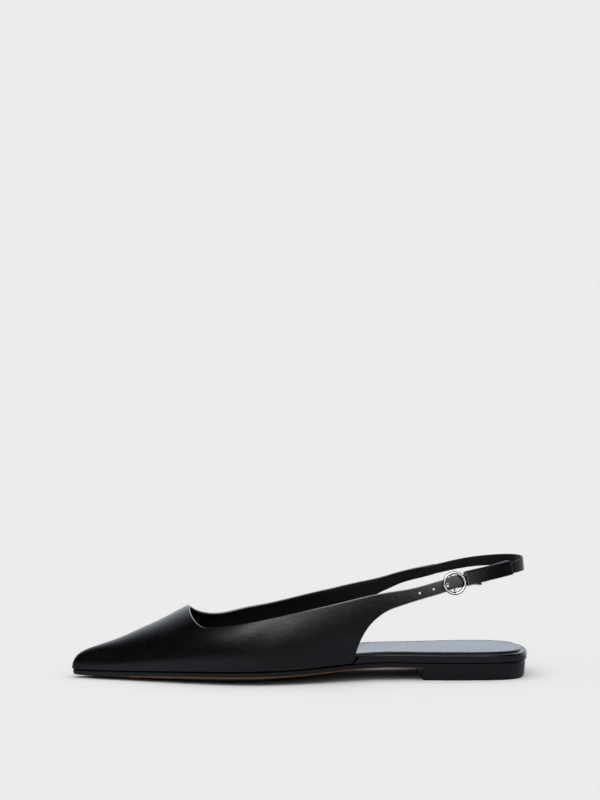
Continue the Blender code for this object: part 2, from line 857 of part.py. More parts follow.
def make_ring():
    """The round frame, with a centre bar held behind the strap."""
    radius = (RING_DIAMETER - RING_WIRE) / 2
    turns = [2 * math.pi * i / RING_STEPS for i in range(RING_STEPS)]
    circle = [in_buckle(radius * math.cos(a), radius * math.sin(a), ring_depth()) for a in turns]
    ring = tube("buckle_ring", circle, RING_WIRE / 2, closed=True)
    bend = BAR_DIAMETER
    low = bar_depth()
    staple = [(radius, ring_depth()), (radius, 0.5 * low)]
    for k in range(5):
        angle = math.pi / 2 * k / 4
        staple.append((radius - bend + bend * math.cos(angle), low + bend - bend * math.sin(angle)))
    staple += [(up, out) for up, out in ((radius / 2, low), (0.0, low))]
    staple += [(-up, out) for up, out in reversed(staple[:-1])]
    wire = tube("buckle_bar", [in_buckle(0.0, up, out) for up, out in staple], BAR_DIAMETER / 2)
    cut(ring, wire, "UNION")
    return ring


def make_prong():
    """A wire looped on the bar, up through the strap and over the front of the ring."""
    loop = BAR_DIAMETER / 2 + GAP + PRONG_DIAMETER / 2
    low = bar_depth()
    path = []
    for k in range(11):
        angle = math.radians(200 + 25 * k)
        path.append((-loop * math.cos(angle), low + loop * math.sin(angle)))
    hole = prong_hole_reach()
    arc = (RING_DIAMETER - RING_WIRE) / 2
    over = ring_depth() + RING_WIRE / 2 + 2 * GAP + PRONG_DIAMETER / 2
    run = (
        (0.0, low + loop),
        (hole * 0.66, low + loop),
        (hole * 0.97, -WALL / 2 - GAP),
        (hole * 1.04, RING_CLEARANCE),
        (hole * 1.10, 0.55 * over),
        (arc * 0.84, 0.92 * over),
        (arc * 1.02, over),
        (arc * 1.18, over - GAP),
    )
    bend = spline(range(len(run)), run)
    path[-1] = run[0]
    path += [tuple(bend(k / 3)) for k in range(1, 3 * (len(run) - 1) + 1)]
    points = [in_buckle(-front, 0.0, out) for front, out in path]
    return tube("buckle_prong", points, PRONG_DIAMETER / 2)


def material(name):
    colour, roughness, metallic = COLOURS[name]
    made = bpy.data.materials.new(name)
    made.use_nodes = True
    shader = made.node_tree.nodes["Principled BSDF"]
    shader.inputs["Base Color"].default_value = (*colour, 1.0)
    shader.inputs["Roughness"].default_value = roughness
    shader.inputs["Metallic"].default_value = metallic
    return made


def main():
    for thing in list(bpy.data.objects):
        bpy.data.objects.remove(thing)
    shoe = bpy.data.objects.new("shoe", None)
    bpy.context.collection.objects.link(shoe)
    makers = (
        make_outsole,
        make_heel,
        make_footbed,
        make_sock,
        make_upper,
        make_back_strap,
        make_sleeve,
        make_ring,
        make_prong,
    )
    pieces = [maker() for maker in makers]
    for piece in pieces:
        piece.data.materials.append(material(piece.name))
    corners = np.array([corner.co for piece in pieces for corner in piece.data.vertices])
    middle = (corners.min(axis=0) + corners.max(axis=0)) / 2
    shoe.location = (-middle[0], -middle[1], 0.0)
    for thing in bpy.data.objects:
        if thing is not shoe:
            thing.parent = shoe


main()
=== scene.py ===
"""Looks of a left sling back flat in black calf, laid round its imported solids.

The toe points to -X and the lateral side, with the buckle, faces -Y. Distances along the
shoe are measured forward from the back of the heel. Every leather piece lies on one last:
the outline under the foot, the body over it and the sling round the back.
"""

import math

import bmesh
import bpy
import numpy as np
from mathutils import Matrix, Vector


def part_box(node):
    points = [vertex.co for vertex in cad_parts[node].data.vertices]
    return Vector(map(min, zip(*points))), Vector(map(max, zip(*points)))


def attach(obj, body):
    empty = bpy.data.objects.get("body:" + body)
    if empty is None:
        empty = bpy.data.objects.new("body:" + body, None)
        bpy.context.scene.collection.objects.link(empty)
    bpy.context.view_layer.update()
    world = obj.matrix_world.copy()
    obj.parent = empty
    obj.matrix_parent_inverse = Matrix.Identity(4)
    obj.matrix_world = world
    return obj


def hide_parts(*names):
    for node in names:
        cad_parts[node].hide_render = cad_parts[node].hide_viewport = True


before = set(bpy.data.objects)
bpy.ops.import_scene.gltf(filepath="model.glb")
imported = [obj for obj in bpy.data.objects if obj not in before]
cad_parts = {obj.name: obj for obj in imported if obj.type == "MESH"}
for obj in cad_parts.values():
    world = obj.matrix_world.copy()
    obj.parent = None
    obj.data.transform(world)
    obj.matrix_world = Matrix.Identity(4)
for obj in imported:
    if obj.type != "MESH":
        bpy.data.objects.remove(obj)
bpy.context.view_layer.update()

MM = 0.001

# Last and bottom
LENGTH = 0.2634
BALL_WIDTH = 0.0745
HEEL_HEIGHT = 0.0070
HEEL_LENGTH = 0.0624
HEEL_TAPER = 0.0007
HEEL_ROUND = 0.0003
HEEL_CLEARANCE = 0.00002
HEEL_BREAST = LENGTH / 2 - HEEL_LENGTH
SOLE_EDGE = 0.0030
SOLE_STEP = 0.0008
SOLE_SPREAD = 1.2
SOLE_WIDENS = (0.34, 0.46)
SOLE_TOE = 0.92
SOLE_CORNER = 0.00005
SOLE_CORNER_AHEAD = 0.00045
SOLE_CORNER_TOE = 0.0009
SOLE_CORNER_TOE_FROM = 0.93
SOLE_CORNER_GROWS = 0.004
SOLE_TOP_ROUND = 0.00045
VAMP_RISE = 0.0345
FULLNESS = 2.3
SWELL_RISE = 0.28

# Leather
WALL = 0.0014
OUTER_LEATHER = 0.0008
FOOTBED_HEEL = 0.0047
FOOTBED_FRONT = 0.0022
FOOTBED_THINS = 0.13
FOOTBED_LIP = 0.0005
RIM_ROUND = 0.0010
INSET_FADES = 0.0060
SOCK_THICKNESS = 0.0008
SOCK_MARGIN = 0.0032
SOCK_ROUND_BELOW = 0.00015
SOCK_ROUND = 0.00045
GAP = 0.0003
STEP_LEAD = 0.0021

# Sling and buckle
SLING_BACK = 0.0006
SLING_LEAN = 0.12
SLING_LEAN_REACH = 0.018
STRAP_WIDTH = 0.0073
STRAP_END_WIDTH = 0.0065
STRAP_LIFT = 0.00075
STRAP_LIFT_REACH = 0.0045
STRAP_POINT = 0.0060
STRAP_END = 0.0288
MEDIAL_END = 0.0507
MEDIAL_END_WIDTH = 0.0063
MEDIAL_TAPER = 0.0219
BAND_WIDTH = 0.0056
BAND_BACK_WIDTH = 0.0080
BAND_BACK_LIFT = 0.0007
BAND_THICKNESS = 0.0012
BAND_LAP = 0.0060
BAND_SPREAD = (0.30, 0.55)
BAND_END_TURNS = (0.0008, 0.002, 0.004)
SLEEVE_FRONT = 0.0377
SLEEVE_LENGTH = 0.0267
SLEEVE_LEATHER = 0.0008
SLEEVE_OVERHANG = 0.0008
SLEEVE_FOLD = 0.0014
SLEEVE_END_STEPS = (0.0, 0.00005, 0.00014, 0.0003, 0.0005, 0.00075, 0.0011)
BUCKLE_PLACE = 0.0451
RING_DIAMETER = 0.01375
RING_WIRE = 0.0018
RING_CLEARANCE = 0.00045
BAR_DIAMETER = 0.0011
PRONG_DIAMETER = 0.0008
PRONG_HOLE = 0.0022
PUNCHED_HOLE = 0.0013
HOLE_PITCH = 0.0081

# Outline of the last's bottom: from the heel (share of length),
# then the lateral and the medial half widths (shares of ball width)
OUTLINE = (
    (0.000, 0.000, 0.000),
    (0.004, 0.148, 0.148),
    (0.019, 0.268, 0.275),
    (0.045, 0.333, 0.340),
    (0.090, 0.358, 0.370),
    (0.150, 0.355, 0.372),
    (0.225, 0.335, 0.340),
    (0.300, 0.322, 0.305),
    (0.370, 0.352, 0.303),
    (0.440, 0.420, 0.352),
    (0.520, 0.487, 0.432),
    (0.590, 0.510, 0.480),
    (0.650, 0.487, 0.492),
    (0.720, 0.416, 0.455),
    (0.790, 0.325, 0.370),
    (0.860, 0.224, 0.258),
    (0.920, 0.140, 0.155),
    (0.970, 0.072, 0.077),
    (1.000, 0.000, 0.000),
)

# Body of the last: from the heel (share of length), lateral and medial half widths
# (shares of ball width), height above the feather edge (share of vamp rise)
BODY = (
    (0.000, 0.000, 0.000, 2.26),
    (0.038, 0.235, 0.235, 2.26),
    (0.090, 0.350, 0.350, 2.26),
    (0.135, 0.395, 0.395, 2.26),
    (0.220, 0.418, 0.418, 2.24),
    (0.300, 0.425, 0.418, 2.22),
    (0.370, 0.425, 0.410, 2.16),
    (0.440, 0.450, 0.420, 1.96),
    (0.520, 0.492, 0.455, 1.66),
    (0.590, 0.521, 0.490, 1.42),
    (0.650, 0.502, 0.506, 1.215),
    (0.720, 0.433, 0.472, 1.055),
    (0.740, 0.407, 0.449, 1.000),
    (0.790, 0.338, 0.384, 0.822),
    (0.850, 0.248, 0.281, 0.632),
    (0.900, 0.176, 0.194, 0.486),
    (0.940, 0.119, 0.127, 0.393),
    (0.972, 0.072, 0.075, 0.308),
    (0.989, 0.040, 0.040, 0.220),
    (1.000, 0.000, 0.000, 0.000),
)

# Underside of the sole: from the heel (share of length), height at the edge
# and along the middle (shares of heel height); below zero it is trodden flat
UNDERSIDE = (
    (0.00, 1.00, 1.00),
    (0.15, 1.00, 1.00),
    (0.26, 1.02, 1.01),
    (0.33, 1.06, 0.99),
    (0.40, 1.00, 0.80),
    (0.48, 0.82, 0.42),
    (0.55, 0.71, 0.12),
    (0.61, 0.66, -0.11),
    (0.70, 0.58, -0.12),
    (0.78, 0.49, -0.02),
    (0.86, 0.37, 0.07),
    (0.93, 0.29, 0.17),
    (1.00, 0.30, 0.28),
)
DISH_POWER = 3.0

# Top edge of the vamp and quarters, from the lateral side over the throat to the medial
# side: from the heel (share of length), height (share of the body's height there)
TOPLINE = (
    (0.360, 0.517),
    (0.420, 0.512),
    (0.486, 0.539),
    (0.550, 0.569),
    (0.614, 0.599),
    (0.670, 0.633),
    (0.700, 0.653),
    (0.716, 0.685),
    (0.7265, 0.745),
    (0.736, 0.840),
    (0.7415, 0.930),
    (0.743, 1.000),
    (0.7410, 0.945),
    (0.7345, 0.870),
    (0.7240, 0.785),
    (0.7120, 0.725),
    (0.6960, 0.672),
    (0.670, 0.633),
    (0.626, 0.616),
    (0.581, 0.589),
    (0.5365, 0.574),
    (0.4935, 0.563),
    (0.425, 0.538),
    (0.365, 0.538),
)
TOPLINE_CREST = 11

# Places on the strap that its edges are tied to (shares of length)
STRAP_KNOTS = (0.200, 0.235, 0.270, 0.310)

# Rear edge of each quarter, from the strap down to the sole: from the heel (share of
# length), height (share of the body's height there)
LATERAL_REAR = (
    (0.268, 0.455),
    (0.291, 0.430),
    (0.3135, 0.402),
    (0.3355, 0.357),
    (0.3570, 0.289),
    (0.3705, 0.220),
    (0.3795, 0.149),
    (0.3865, 0.074),
    (0.3960, 0.000),
)
MEDIAL_REAR = (
    (0.292, 0.473),
    (0.3155, 0.436),
    (0.3370, 0.389),
    (0.3560, 0.322),
    (0.3705, 0.238),
    (0.3795, 0.156),
    (0.3865, 0.075),
    (0.3960, 0.000),
)
REAR_CORNER = 0.396
REAR_SLANT = 0.010
TOE_FAN = 0.3
SOCK_NARROWS = (REAR_CORNER - 0.06, REAR_CORNER + 0.02)

# Middle line of the sling, from the lateral side round the heel to the medial side:
# side, from the heel (share of length), height (share of the body's height there)
SLING = (
    (-1, 0.340, 0.480),
    (-1, 0.265, 0.512),
    (-1, 0.204, 0.562),
    (-1, 0.138, 0.612),
    (-1, 0.093, 0.640),
    (-1, 0.046, 0.668),
    (0, 0.000, 0.690),
    (1, 0.050, 0.697),
    (1, 0.093, 0.684),
    (1, 0.137, 0.660),
    (1, 0.181, 0.628),
    (1, 0.225, 0.596),
    (1, 0.270, 0.556),
    (1, 0.320, 0.505),
)

# Shape of the strap's cut end: back from the tip (share of the point's length),
# width (share of the end width), how far it hangs (share of the end width)
STRAP_TIP = (
    (0.00, 0.10, 0.20),
    (0.25, 0.42, 0.17),
    (0.50, 0.68, 0.10),
    (0.75, 0.88, 0.04),
    (1.00, 1.00, 0.00),
)
STRAP_TIP_RIBS = (0, 0.01, 0.03, 0.06, 0.1, 0.15, 0.22, 0.3, 0.4)
MEDIAL_END_RIBS = (0.006, 0.003, 0.0)


# The last


def spline(knots, values):
    """A natural cubic spline through rows of values; it takes arrays."""
    x = np.asarray(knots, float)
    y = np.asarray(values, float)
    flat = y.ndim == 1
    y = y.reshape(len(x), -1)
    step = np.diff(x)
    count = len(x)
    matrix = np.zeros((count, count))
    right = np.zeros_like(y)
    matrix[0, 0] = matrix[-1, -1] = 1.0
    for i in range(1, count - 1):
        matrix[i, i - 1 : i + 2] = step[i - 1], 2 * (step[i - 1] + step[i]), step[i]
        right[i] = 3 * ((y[i + 1] - y[i]) / step[i] - (y[i] - y[i - 1]) / step[i - 1])
    bend = np.linalg.solve(matrix, right)
    gap = step[:, None]
    slope = (y[1:] - y[:-1]) / gap - gap * (2 * bend[:-1] + bend[1:]) / 3
    curve = (bend[1:] - bend[:-1]) / (3 * gap)

    def at(q):
        q = np.asarray(q, float)
        i = np.clip(np.searchsorted(x, q) - 1, 0, count - 2)
        t = (q - x[i])[..., None]
        found = y[i] + t * (slope[i] + t * (bend[i] + t * curve[i]))
        return found[..., 0] if flat else found

    return at


def smoothstep(low, high, value):
    t = np.clip((value - low) / (high - low), 0.0, 1.0)
    return t * t * (3 - 2 * t)


def turn(share):
    """Both ends of the shoe are round, so its length is read as a half turn."""
    return np.arccos(1 - 2 * np.clip(share, 0.0, 1.0))


def columns(table):
    return spline([turn(row[0]) for row in table], [row[1:] for row in table])


outline_at = columns(OUTLINE)
body_at = columns(BODY)
underside_at = columns(UNDERSIDE)
strap_tip_at = spline([row[0] for row in STRAP_TIP], [row[1:] for row in STRAP_TIP])
sling_rise_at = spline([row[0] * turn(row[1]) for row in SLING], [row[2] for row in SLING])


def feather(along):
    """Height of the edge where upper and sole meet."""
    return HEEL_HEIGHT * underside_at(turn(along / LENGTH))[..., 0] + SOLE_EDGE + GAP


def sole_underside(along, y):
    """Height of the sole's underside, dished across and trodden flat under the ball."""
    place = turn(along / LENGTH)
    levels = underside_at(place)
    edge, middle = levels[..., 0], levels[..., 1]
    sides = BALL_WIDTH * outline_at(place)
    half = np.maximum(np.where(y < 0, sides[..., 0], sides[..., 1]), GAP)
    out = np.minimum(1.0, np.abs(y) / half)
    return np.maximum(0.0, HEEL_HEIGHT * (middle + (edge - middle) * out**DISH_POWER))


def sole_top(along, y):
    return sole_underside(along, y) + SOLE_EDGE


def footbed_top(along, y):
    front = smoothstep(REAR_CORNER, REAR_CORNER + FOOTBED_THINS, along / LENGTH)
    return sole_top(along, y) + GAP + FOOTBED_HEEL + (FOOTBED_FRONT - FOOTBED_HEEL) * front


def body_along(turned):
    return SLING_BACK + (LENGTH - SLING_BACK) * (1 - np.cos(turned)) / 2


def body_turn(along):
    return turn((along - SLING_BACK) / (LENGTH - SLING_BACK))


def angle_of(rise, side):
    """Angle over the foot at a share of the body's height, on one side."""
    angle = np.arcsin(np.clip(rise, 0.0, 1.0) ** (FULLNESS / 2))
    return np.where(np.asarray(side) < 0, angle, math.pi - angle)


def body_height(turned):
    return VAMP_RISE * body_at(turned)[..., 2]


SLING_BACK_HEIGHT = HEEL_HEIGHT + body_height(0.0) * sling_rise_at(0.0)


def on_body(turned, angle):
    """Points of the upper's outer face: turned runs from heel to toe, angle runs over
    the foot from the lateral to the medial side."""
    turned, angle = np.broadcast_arrays(np.abs(turned), angle)
    medial = angle > math.pi / 2
    rise = np.clip(np.sin(angle), 0.0, 1.0) ** (2 / FULLNESS)
    along = body_along(turned)
    feet = outline_at(turn(along / LENGTH))
    widths = body_at(turned)
    foot = np.where(medial, feet[..., 1], feet[..., 0])
    wide = np.where(medial, widths[..., 1], widths[..., 0])
    swell = 1 - np.maximum(0.0, 1 - rise / SWELL_RISE) ** 2
    half = BALL_WIDTH * (foot + (wide - foot) * swell) * np.abs(np.cos(angle)) ** (2 / FULLNESS)
    z = feather(along) + VAMP_RISE * widths[..., 2] * rise
    lean = SLING_LEAN * (z - SLING_BACK_HEIGHT) * np.exp(-along / SLING_LEAN_REACH)
    return np.stack((LENGTH / 2 - along - lean, np.where(medial, half, -half), z), axis=-1)


def on_sling(around, rise):
    return on_body(around, angle_of(rise, np.where(around < 0, -1, 1)))


def unit(vectors):
    return vectors / np.linalg.norm(vectors, axis=-1, keepdims=True)


def sling_frame(around, height=0.0, out=0.0):
    """Points beside the sling's middle line, up the strap and out from the body's face,
    with the directions along it, up it and outwards."""
    around, height, out = np.broadcast_arrays(np.asarray(around, float), height, out)
    tiny = 0.002
    rise = sling_rise_at(around)
    ahead = on_sling(around + tiny, sling_rise_at(around + tiny))
    along = unit(ahead - on_sling(around - tiny, sling_rise_at(around - tiny)))
    up = on_sling(around, rise + tiny) - on_sling(around, rise - tiny)
    normal = unit(np.cross(along, up))
    up = np.cross(normal, along)
    point = on_sling(around, rise) + up * height[..., None] + normal * out[..., None]
    return point, along, up, normal


def middle_shift():
    """The CAD is set about its own middle, so the last is moved over by as much."""
    low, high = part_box("outsole")
    spread = (SOLE_SPREAD - 1) * SOLE_STEP
    drawn = BALL_WIDTH * outline_at(np.linspace(0, math.pi, 37)) + spread
    middle = (drawn[:, 1].max() - drawn[:, 0].max()) / 2
    return Vector((0.0, (low.y + high.y) / 2 - middle, 0.0))


SHIFT = middle_shift()


# Meshes

ROUND_STEPS = np.array((0.0, 0.05, 0.14, 0.28, 0.46, 0.70, 1.0)) * MM
SHARP_ANGLE = math.radians(50)


def edge_spread(lengths, fine, middle):
    """Shares along lines of these lengths, close together near both ends."""
    ends = np.asarray(fine) / lengths[:, None]
    inside = np.linspace(0, 1, middle + 2)[1:-1]
    span = 1 - 2 * ends[:, -1:]
    return np.concatenate((ends, ends[:, -1:] + span * inside, 1 - ends[:, ::-1]), axis=1)


def normals_of(grid):
    """Outward directions of a grid of points, from its neighbours."""
    normal = np.cross(np.gradient(grid, axis=0), np.gradient(grid, axis=1))
    return normal / np.maximum(np.linalg.norm(normal, axis=2, keepdims=True), 1e-12)


def from_ends(grid, axis):
    """Distance of each point of a grid from the nearer end of its row or column."""
    steps = np.linalg.norm(np.diff(grid, axis=axis), axis=2)
    start = np.zeros_like(steps.take([0], axis=axis))
    reach = np.concatenate((start, np.cumsum(steps, axis=axis)), axis=axis)
    return np.minimum(reach, reach.take([-1], axis=axis) - reach)


def edge_distance(grid):
    return np.minimum(from_ends(grid, 0), from_ends(grid, 1))


def stack(name, *grids, tag=None):
    """A closed solid between the first and the last grid, through the rims of those between.
    The points of both faces may carry a tag, such as their distance from the edge."""
    rows, across = grids[0].shape[:2]
    index = np.arange(rows * across).reshape(rows, across)
    loop = np.concatenate((index[:, 0], index[-1, 1:], index[-2::-1, -1], index[0, -2:0:-1]))
    points = [grids[0].reshape(-1, 3)]
    points += [grid.reshape(-1, 3)[loop] for grid in grids[1:-1]]
    points.append(grids[-1].reshape(-1, 3))
    starts = np.cumsum([0] + [len(p) for p in points])
    squares = np.stack((index[:-1, :-1], index[1:, :-1], index[1:, 1:], index[:-1, 1:]), axis=-1)
    faces = squares.reshape(-1, 4).tolist()
    faces += (squares.reshape(-1, 4) + starts[-2]).tolist()
    rims = [loop] + [starts[k] + np.arange(len(loop)) for k in range(1, len(grids) - 1)]
    rims.append(starts[-2] + loop)
    for low, high in zip(rims, rims[1:]):
        sides = np.stack((low, np.roll(low, 1), np.roll(high, 1), high), axis=1)
        faces += sides.tolist()
    tags = None
    if tag is not None:
        tags = np.zeros(starts[-1])
        tags[: rows * across] = tag.ravel()
        tags[starts[-2] :] = tag.ravel()
    return solid(name, np.concatenate(points), faces, tags)


def solid(name, points, faces, tags=None):
    """A piece from points of the last and faces, smooth but for its sharp edges."""
    data = bpy.data.meshes.new(name)
    data.from_pydata((points + np.array(SHIFT)).tolist(), [], faces)
    if tags is not None:
        data.attributes.new("edge", "FLOAT", "POINT").data.foreach_set("value", tags)
    mesh = bmesh.new()
    mesh.from_mesh(data)
    bmesh.ops.remove_doubles(mesh, verts=mesh.verts, dist=1e-7)
    bmesh.ops.dissolve_degenerate(mesh, edges=mesh.edges, dist=1e-7)
    bmesh.ops.recalc_face_normals(mesh, faces=mesh.faces)
    mesh.to_mesh(data)
    mesh.free()
    data.shade_smooth()
    data.set_sharp_from_angle(angle=SHARP_ANGLE)
    thing = bpy.data.objects.new(name, data)
    bpy.context.scene.collection.objects.link(thing)
    return thing


def hide(name, face, top=0.0, wall=WALL, whole=WALL):
    """A piece of leather from the grid of the outer face that it belongs to: it lies from
    top to wall below that face, and the cut edges of the whole thickness are rounded."""
    reach = edge_distance(face)
    radius = whole / 2
    nose = radius - np.sqrt(np.maximum(radius**2 - (radius - np.minimum(reach, radius)) ** 2, 0))
    normal = normals_of(face)
    upper = np.maximum(top, nose)
    lower = np.minimum(wall, whole - nose)
    upper = np.minimum(upper, lower)
    low = face - normal * lower[..., None]
    high = face - normal * upper[..., None]
    return stack(name, low, high, tag=reach)


def wire(name, path, radius, sides=20, closed=False):
    """A round wire through points that lie close together, with domed ends."""
    path = np.asarray(path, float)
    if closed:
        ahead = np.roll(path, -1, axis=0) - np.roll(path, 1, axis=0)
    else:
        ahead = np.gradient(path, axis=0)
    ahead = unit(ahead)
    flat = unit(np.cross(ahead[0], ahead[len(ahead) // 3]))
    side = unit(np.cross(flat, ahead))
    lift = np.cross(ahead, side)
    around = np.linspace(0, 2 * math.pi, sides, endpoint=False)
    ring = np.cos(around)[:, None, None] * side + np.sin(around)[:, None, None] * lift
    rings = [(path + radius * ring).transpose(1, 0, 2)[k] for k in range(len(path))]
    if not closed:
        for end, sign in ((0, -1), (-1, 1)):
            for k in range(1, 5):
                tip = math.pi / 2 * k / 4
                centre = path[end] + sign * ahead[end] * radius * math.sin(tip)
                small = centre + radius * math.cos(tip) * ring[:, end]
                rings.insert(0 if end == 0 else len(rings), small)
    points = np.concatenate(rings)
    count = len(rings)
    faces = []
    for i in range(count if closed else count - 1):
        for k in range(sides):
            a, b = i * sides, (i + 1) % count * sides
            faces.append((a + k, a + (k + 1) % sides, b + (k + 1) % sides, b + k))
    return solid(name, points, faces)


def rungs(stations, inset, height, steps=28):
    """Rows of points across the outline drawn in by inset, which fades where the outline
    is narrow; height gives their z."""
    q = np.asarray(stations)
    inset = np.broadcast_to(inset, q.shape)
    along = inset + (LENGTH - 2 * inset) * (1 - np.cos(q)) / 2
    halves = np.maximum(0.0, BALL_WIDTH * outline_at(q))
    drawn = inset[:, None] * np.tanh(halves / INSET_FADES)
    ends = np.maximum(0.0, halves - drawn)
    share = (1 - np.cos(math.pi * np.arange(steps + 1) / steps)) / 2
    y = -ends[:, :1] + (ends[:, :1] + ends[:, 1:]) * share
    along = np.broadcast_to(along[:, None], y.shape)
    return np.stack((LENGTH / 2 - along, y, height(along, y)), axis=-1)


def slab(name, stations, inset, base, top, low_round, high_round, turns=6):
    """A bottom piece with its outline's edges rounded below and above; the lower rounding
    may change along the shoe."""
    low_rounds = low_round((1 - np.cos(stations)) / 2 * LENGTH)
    levels = []
    for a in np.linspace(0, math.pi / 2, turns + 1):
        out, rise = low_rounds * (1 - math.sin(a)), 1 - math.cos(a)
        grid = rungs(stations, inset + out, lambda x, y: base(x, y) + low_round(x) * rise)
        levels.append(grid)
    for a in np.linspace(0, math.pi / 2, turns + 1):
        out, drop = high_round * (1 - math.cos(a)), high_round * (1 - math.sin(a))
        levels.append(rungs(stations, inset + out, lambda x, y: top(x, y) - drop))
    return stack(name, *levels)


def stations_of(low=0.0, high=math.pi, count=200):
    return np.linspace(low, high, count + 1)


# Upper


def strap_width(along):
    full = smoothstep(SLEEVE_FRONT, SLEEVE_FRONT + STRAP_LIFT_REACH, along)
    return STRAP_END_WIDTH + (STRAP_WIDTH - STRAP_END_WIDTH) * full


def strap_lift(along):
    """The lateral strap rides up in the ring."""
    return STRAP_LIFT * math.exp(-(((along - BUCKLE_PLACE) / STRAP_LIFT_REACH) ** 2))


def medial_width(along):
    full = smoothstep(MEDIAL_END, MEDIAL_END + MEDIAL_TAPER, along)
    return MEDIAL_END_WIDTH + (STRAP_WIDTH - MEDIAL_END_WIDTH) * full


def strap_edges(side, along):
    """Turned and angle of the strap's top and bottom edges at a place along the shoe."""
    around = side * body_turn(along)
    width = strap_width(along) if side < 0 else medial_width(along)
    lift = strap_lift(along) if side < 0 else 0.0
    if side < 0 and along < STRAP_END + STRAP_POINT:
        spread, drop = strap_tip_at((along - STRAP_END) / STRAP_POINT)
        lift -= 0.5 * width * (1 - spread) + width * drop
        width = width * spread
    height = body_height(abs(around))
    slope = (sling_rise_at(around + 0.01) - sling_rise_at(around - 0.01)) * height
    step = abs(body_along(abs(around) + 0.01) - body_along(abs(around) - 0.01))
    tall = math.hypot(1.0, slope / step) / height
    middle = sling_rise_at(around) + lift * tall
    edges = (middle + 0.5 * width * tall, middle - 0.5 * width * tall)
    return [(abs(around), float(angle_of(rise, side))) for rise in edges]


def chain(rows):
    """A smooth line through (turned, angle) rows, read by its length from 0 to 1."""
    points = on_body(*np.array(rows, float).T)
    steps = np.linalg.norm(np.diff(points, axis=0), axis=1)
    marks = np.concatenate(([0.0], np.cumsum(steps))) / steps.sum()
    return spline(marks, rows), marks


def edge_rows(table, side):
    return [(float(body_turn(s * LENGTH)), float(angle_of(rise, side))) for s, rise in table]


def upper_face(behind=80, along_count=260, across=44):
    """The grid of the upper's outer face, rib by rib from the tip of the lateral strap
    forward round the toe and back to the end of the medial strap."""
    medial_end = MEDIAL_END / LENGTH
    lateral = [strap_edges(-1, s * LENGTH)[0] for s in STRAP_KNOTS]
    medial = [strap_edges(1, s * LENGTH)[0] for s in (*STRAP_KNOTS[:0:-1], medial_end)]
    middle = edge_rows(TOPLINE[: TOPLINE_CREST + 1], -1)
    middle += edge_rows(TOPLINE[TOPLINE_CREST + 1 :], 1)
    top_at, marks = chain(lateral + middle + medial)
    start, corner = marks[0], marks[len(lateral) + 1]
    far_corner = marks[-2 - len(medial)]

    tip = STRAP_END + STRAP_POINT * np.array(STRAP_TIP_RIBS)
    places = list(tip) + list(np.linspace(tip[-1], STRAP_KNOTS[0] * LENGTH, 30)[1:-1])
    ribs = [strap_edges(-1, place) for place in places]
    rear = [strap_edges(-1, s * LENGTH)[1] for s in STRAP_KNOTS[:2]]
    low_at, _ = chain(rear + edge_rows(LATERAL_REAR, -1))
    t = np.linspace(0, 1, behind + 1)
    ribs += list(zip(top_at(start + (corner - start) * t).tolist(), low_at(t).tolist()))

    t = np.linspace(0, 1, along_count + 1)[1:-1]
    low = body_turn(REAR_CORNER * LENGTH)
    ahead = (1 - np.abs(2 * t - 1)) / (1 - TOE_FAN)
    low = low + (math.pi - low) * np.minimum(1.0, ahead)
    angle = math.pi / 2 * np.maximum(0.0, ahead - 1) * (1 - TOE_FAN) / TOE_FAN
    angle = np.where(t <= 0.5, angle, math.pi - angle)
    tops = top_at(corner + (far_corner - corner) * t)
    ribs += list(zip(tops.tolist(), np.stack((low, angle), axis=1).tolist()))

    rear = [strap_edges(1, s * LENGTH)[1] for s in (medial_end, *STRAP_KNOTS[1:3])]
    low_at, _ = chain(rear + edge_rows(MEDIAL_REAR, 1))
    t = np.append(1 - np.linspace(0, 1, behind + 1)[:-1], MEDIAL_END_RIBS)
    ends = top_at(marks[-1] + (far_corner - marks[-1]) * t)
    ribs += list(zip(ends.tolist(), low_at(t).tolist()))

    ribs = np.array(ribs)
    top, low = ribs[:, :1], ribs[:, 1:]
    trial = top + (low - top) * np.linspace(0, 1, 25)[None, :, None]
    points = on_body(trial[..., 0], trial[..., 1])
    lengths = np.linalg.norm(np.diff(points, axis=1), axis=2).sum(axis=1)
    fine = ROUND_STEPS * np.minimum(1.0, lengths / (4 * ROUND_STEPS[-1]))[:, None]
    shares = edge_spread(lengths, fine, across)[..., None]
    spread = top + (low - top) * shares
    return on_body(spread[..., 0], spread[..., 1])


def pin(name, centre, axis, radius, length, sides=32):
    """A plain round cutter."""
    mesh = bmesh.new()
    bmesh.ops.create_cone(
        mesh, cap_ends=True, segments=sides, radius1=radius, radius2=radius, depth=length
    )
    data = bpy.data.meshes.new(name)
    mesh.to_mesh(data)
    mesh.free()
    turned = Vector((0, 0, 1)).rotation_difference(Vector(axis)).to_matrix().to_4x4()
    data.transform(Matrix.Translation(Vector(centre) + SHIFT) @ turned)
    thing = bpy.data.objects.new(name, data)
    bpy.context.scene.collection.objects.link(thing)
    return thing


def settle(piece):
    """Turns a piece and its modifiers into one plain mesh."""
    graph = bpy.context.evaluated_depsgraph_get()
    data = bpy.data.meshes.new_from_object(piece.evaluated_get(graph))
    piece.modifiers.clear()
    piece.data = data
    return piece


def punch(piece, cutters):
    """Cuts holes through a piece and makes it one plain mesh."""
    for cutter in cutters:
        change = piece.modifiers.new(cutter.name, "BOOLEAN")
        change.operation = "DIFFERENCE"
        change.solver = "EXACT"
        change.object = cutter
    return settle(piece)


def discard(things):
    for thing in things:
        bpy.data.objects.remove(thing)


def prong_hole_reach():
    """How far ahead of the bar the prong goes through the strap, just inside the ring."""
    return 0.5 * (RING_DIAMETER - 2 * RING_WIRE) - PRONG_HOLE / 2 - GAP


def strap_hole(name, place, diameter):
    point, _, _, normal = sling_frame(-body_turn(place))
    return pin(name, point, normal, diameter / 2, 4 * WALL)


# Buckle


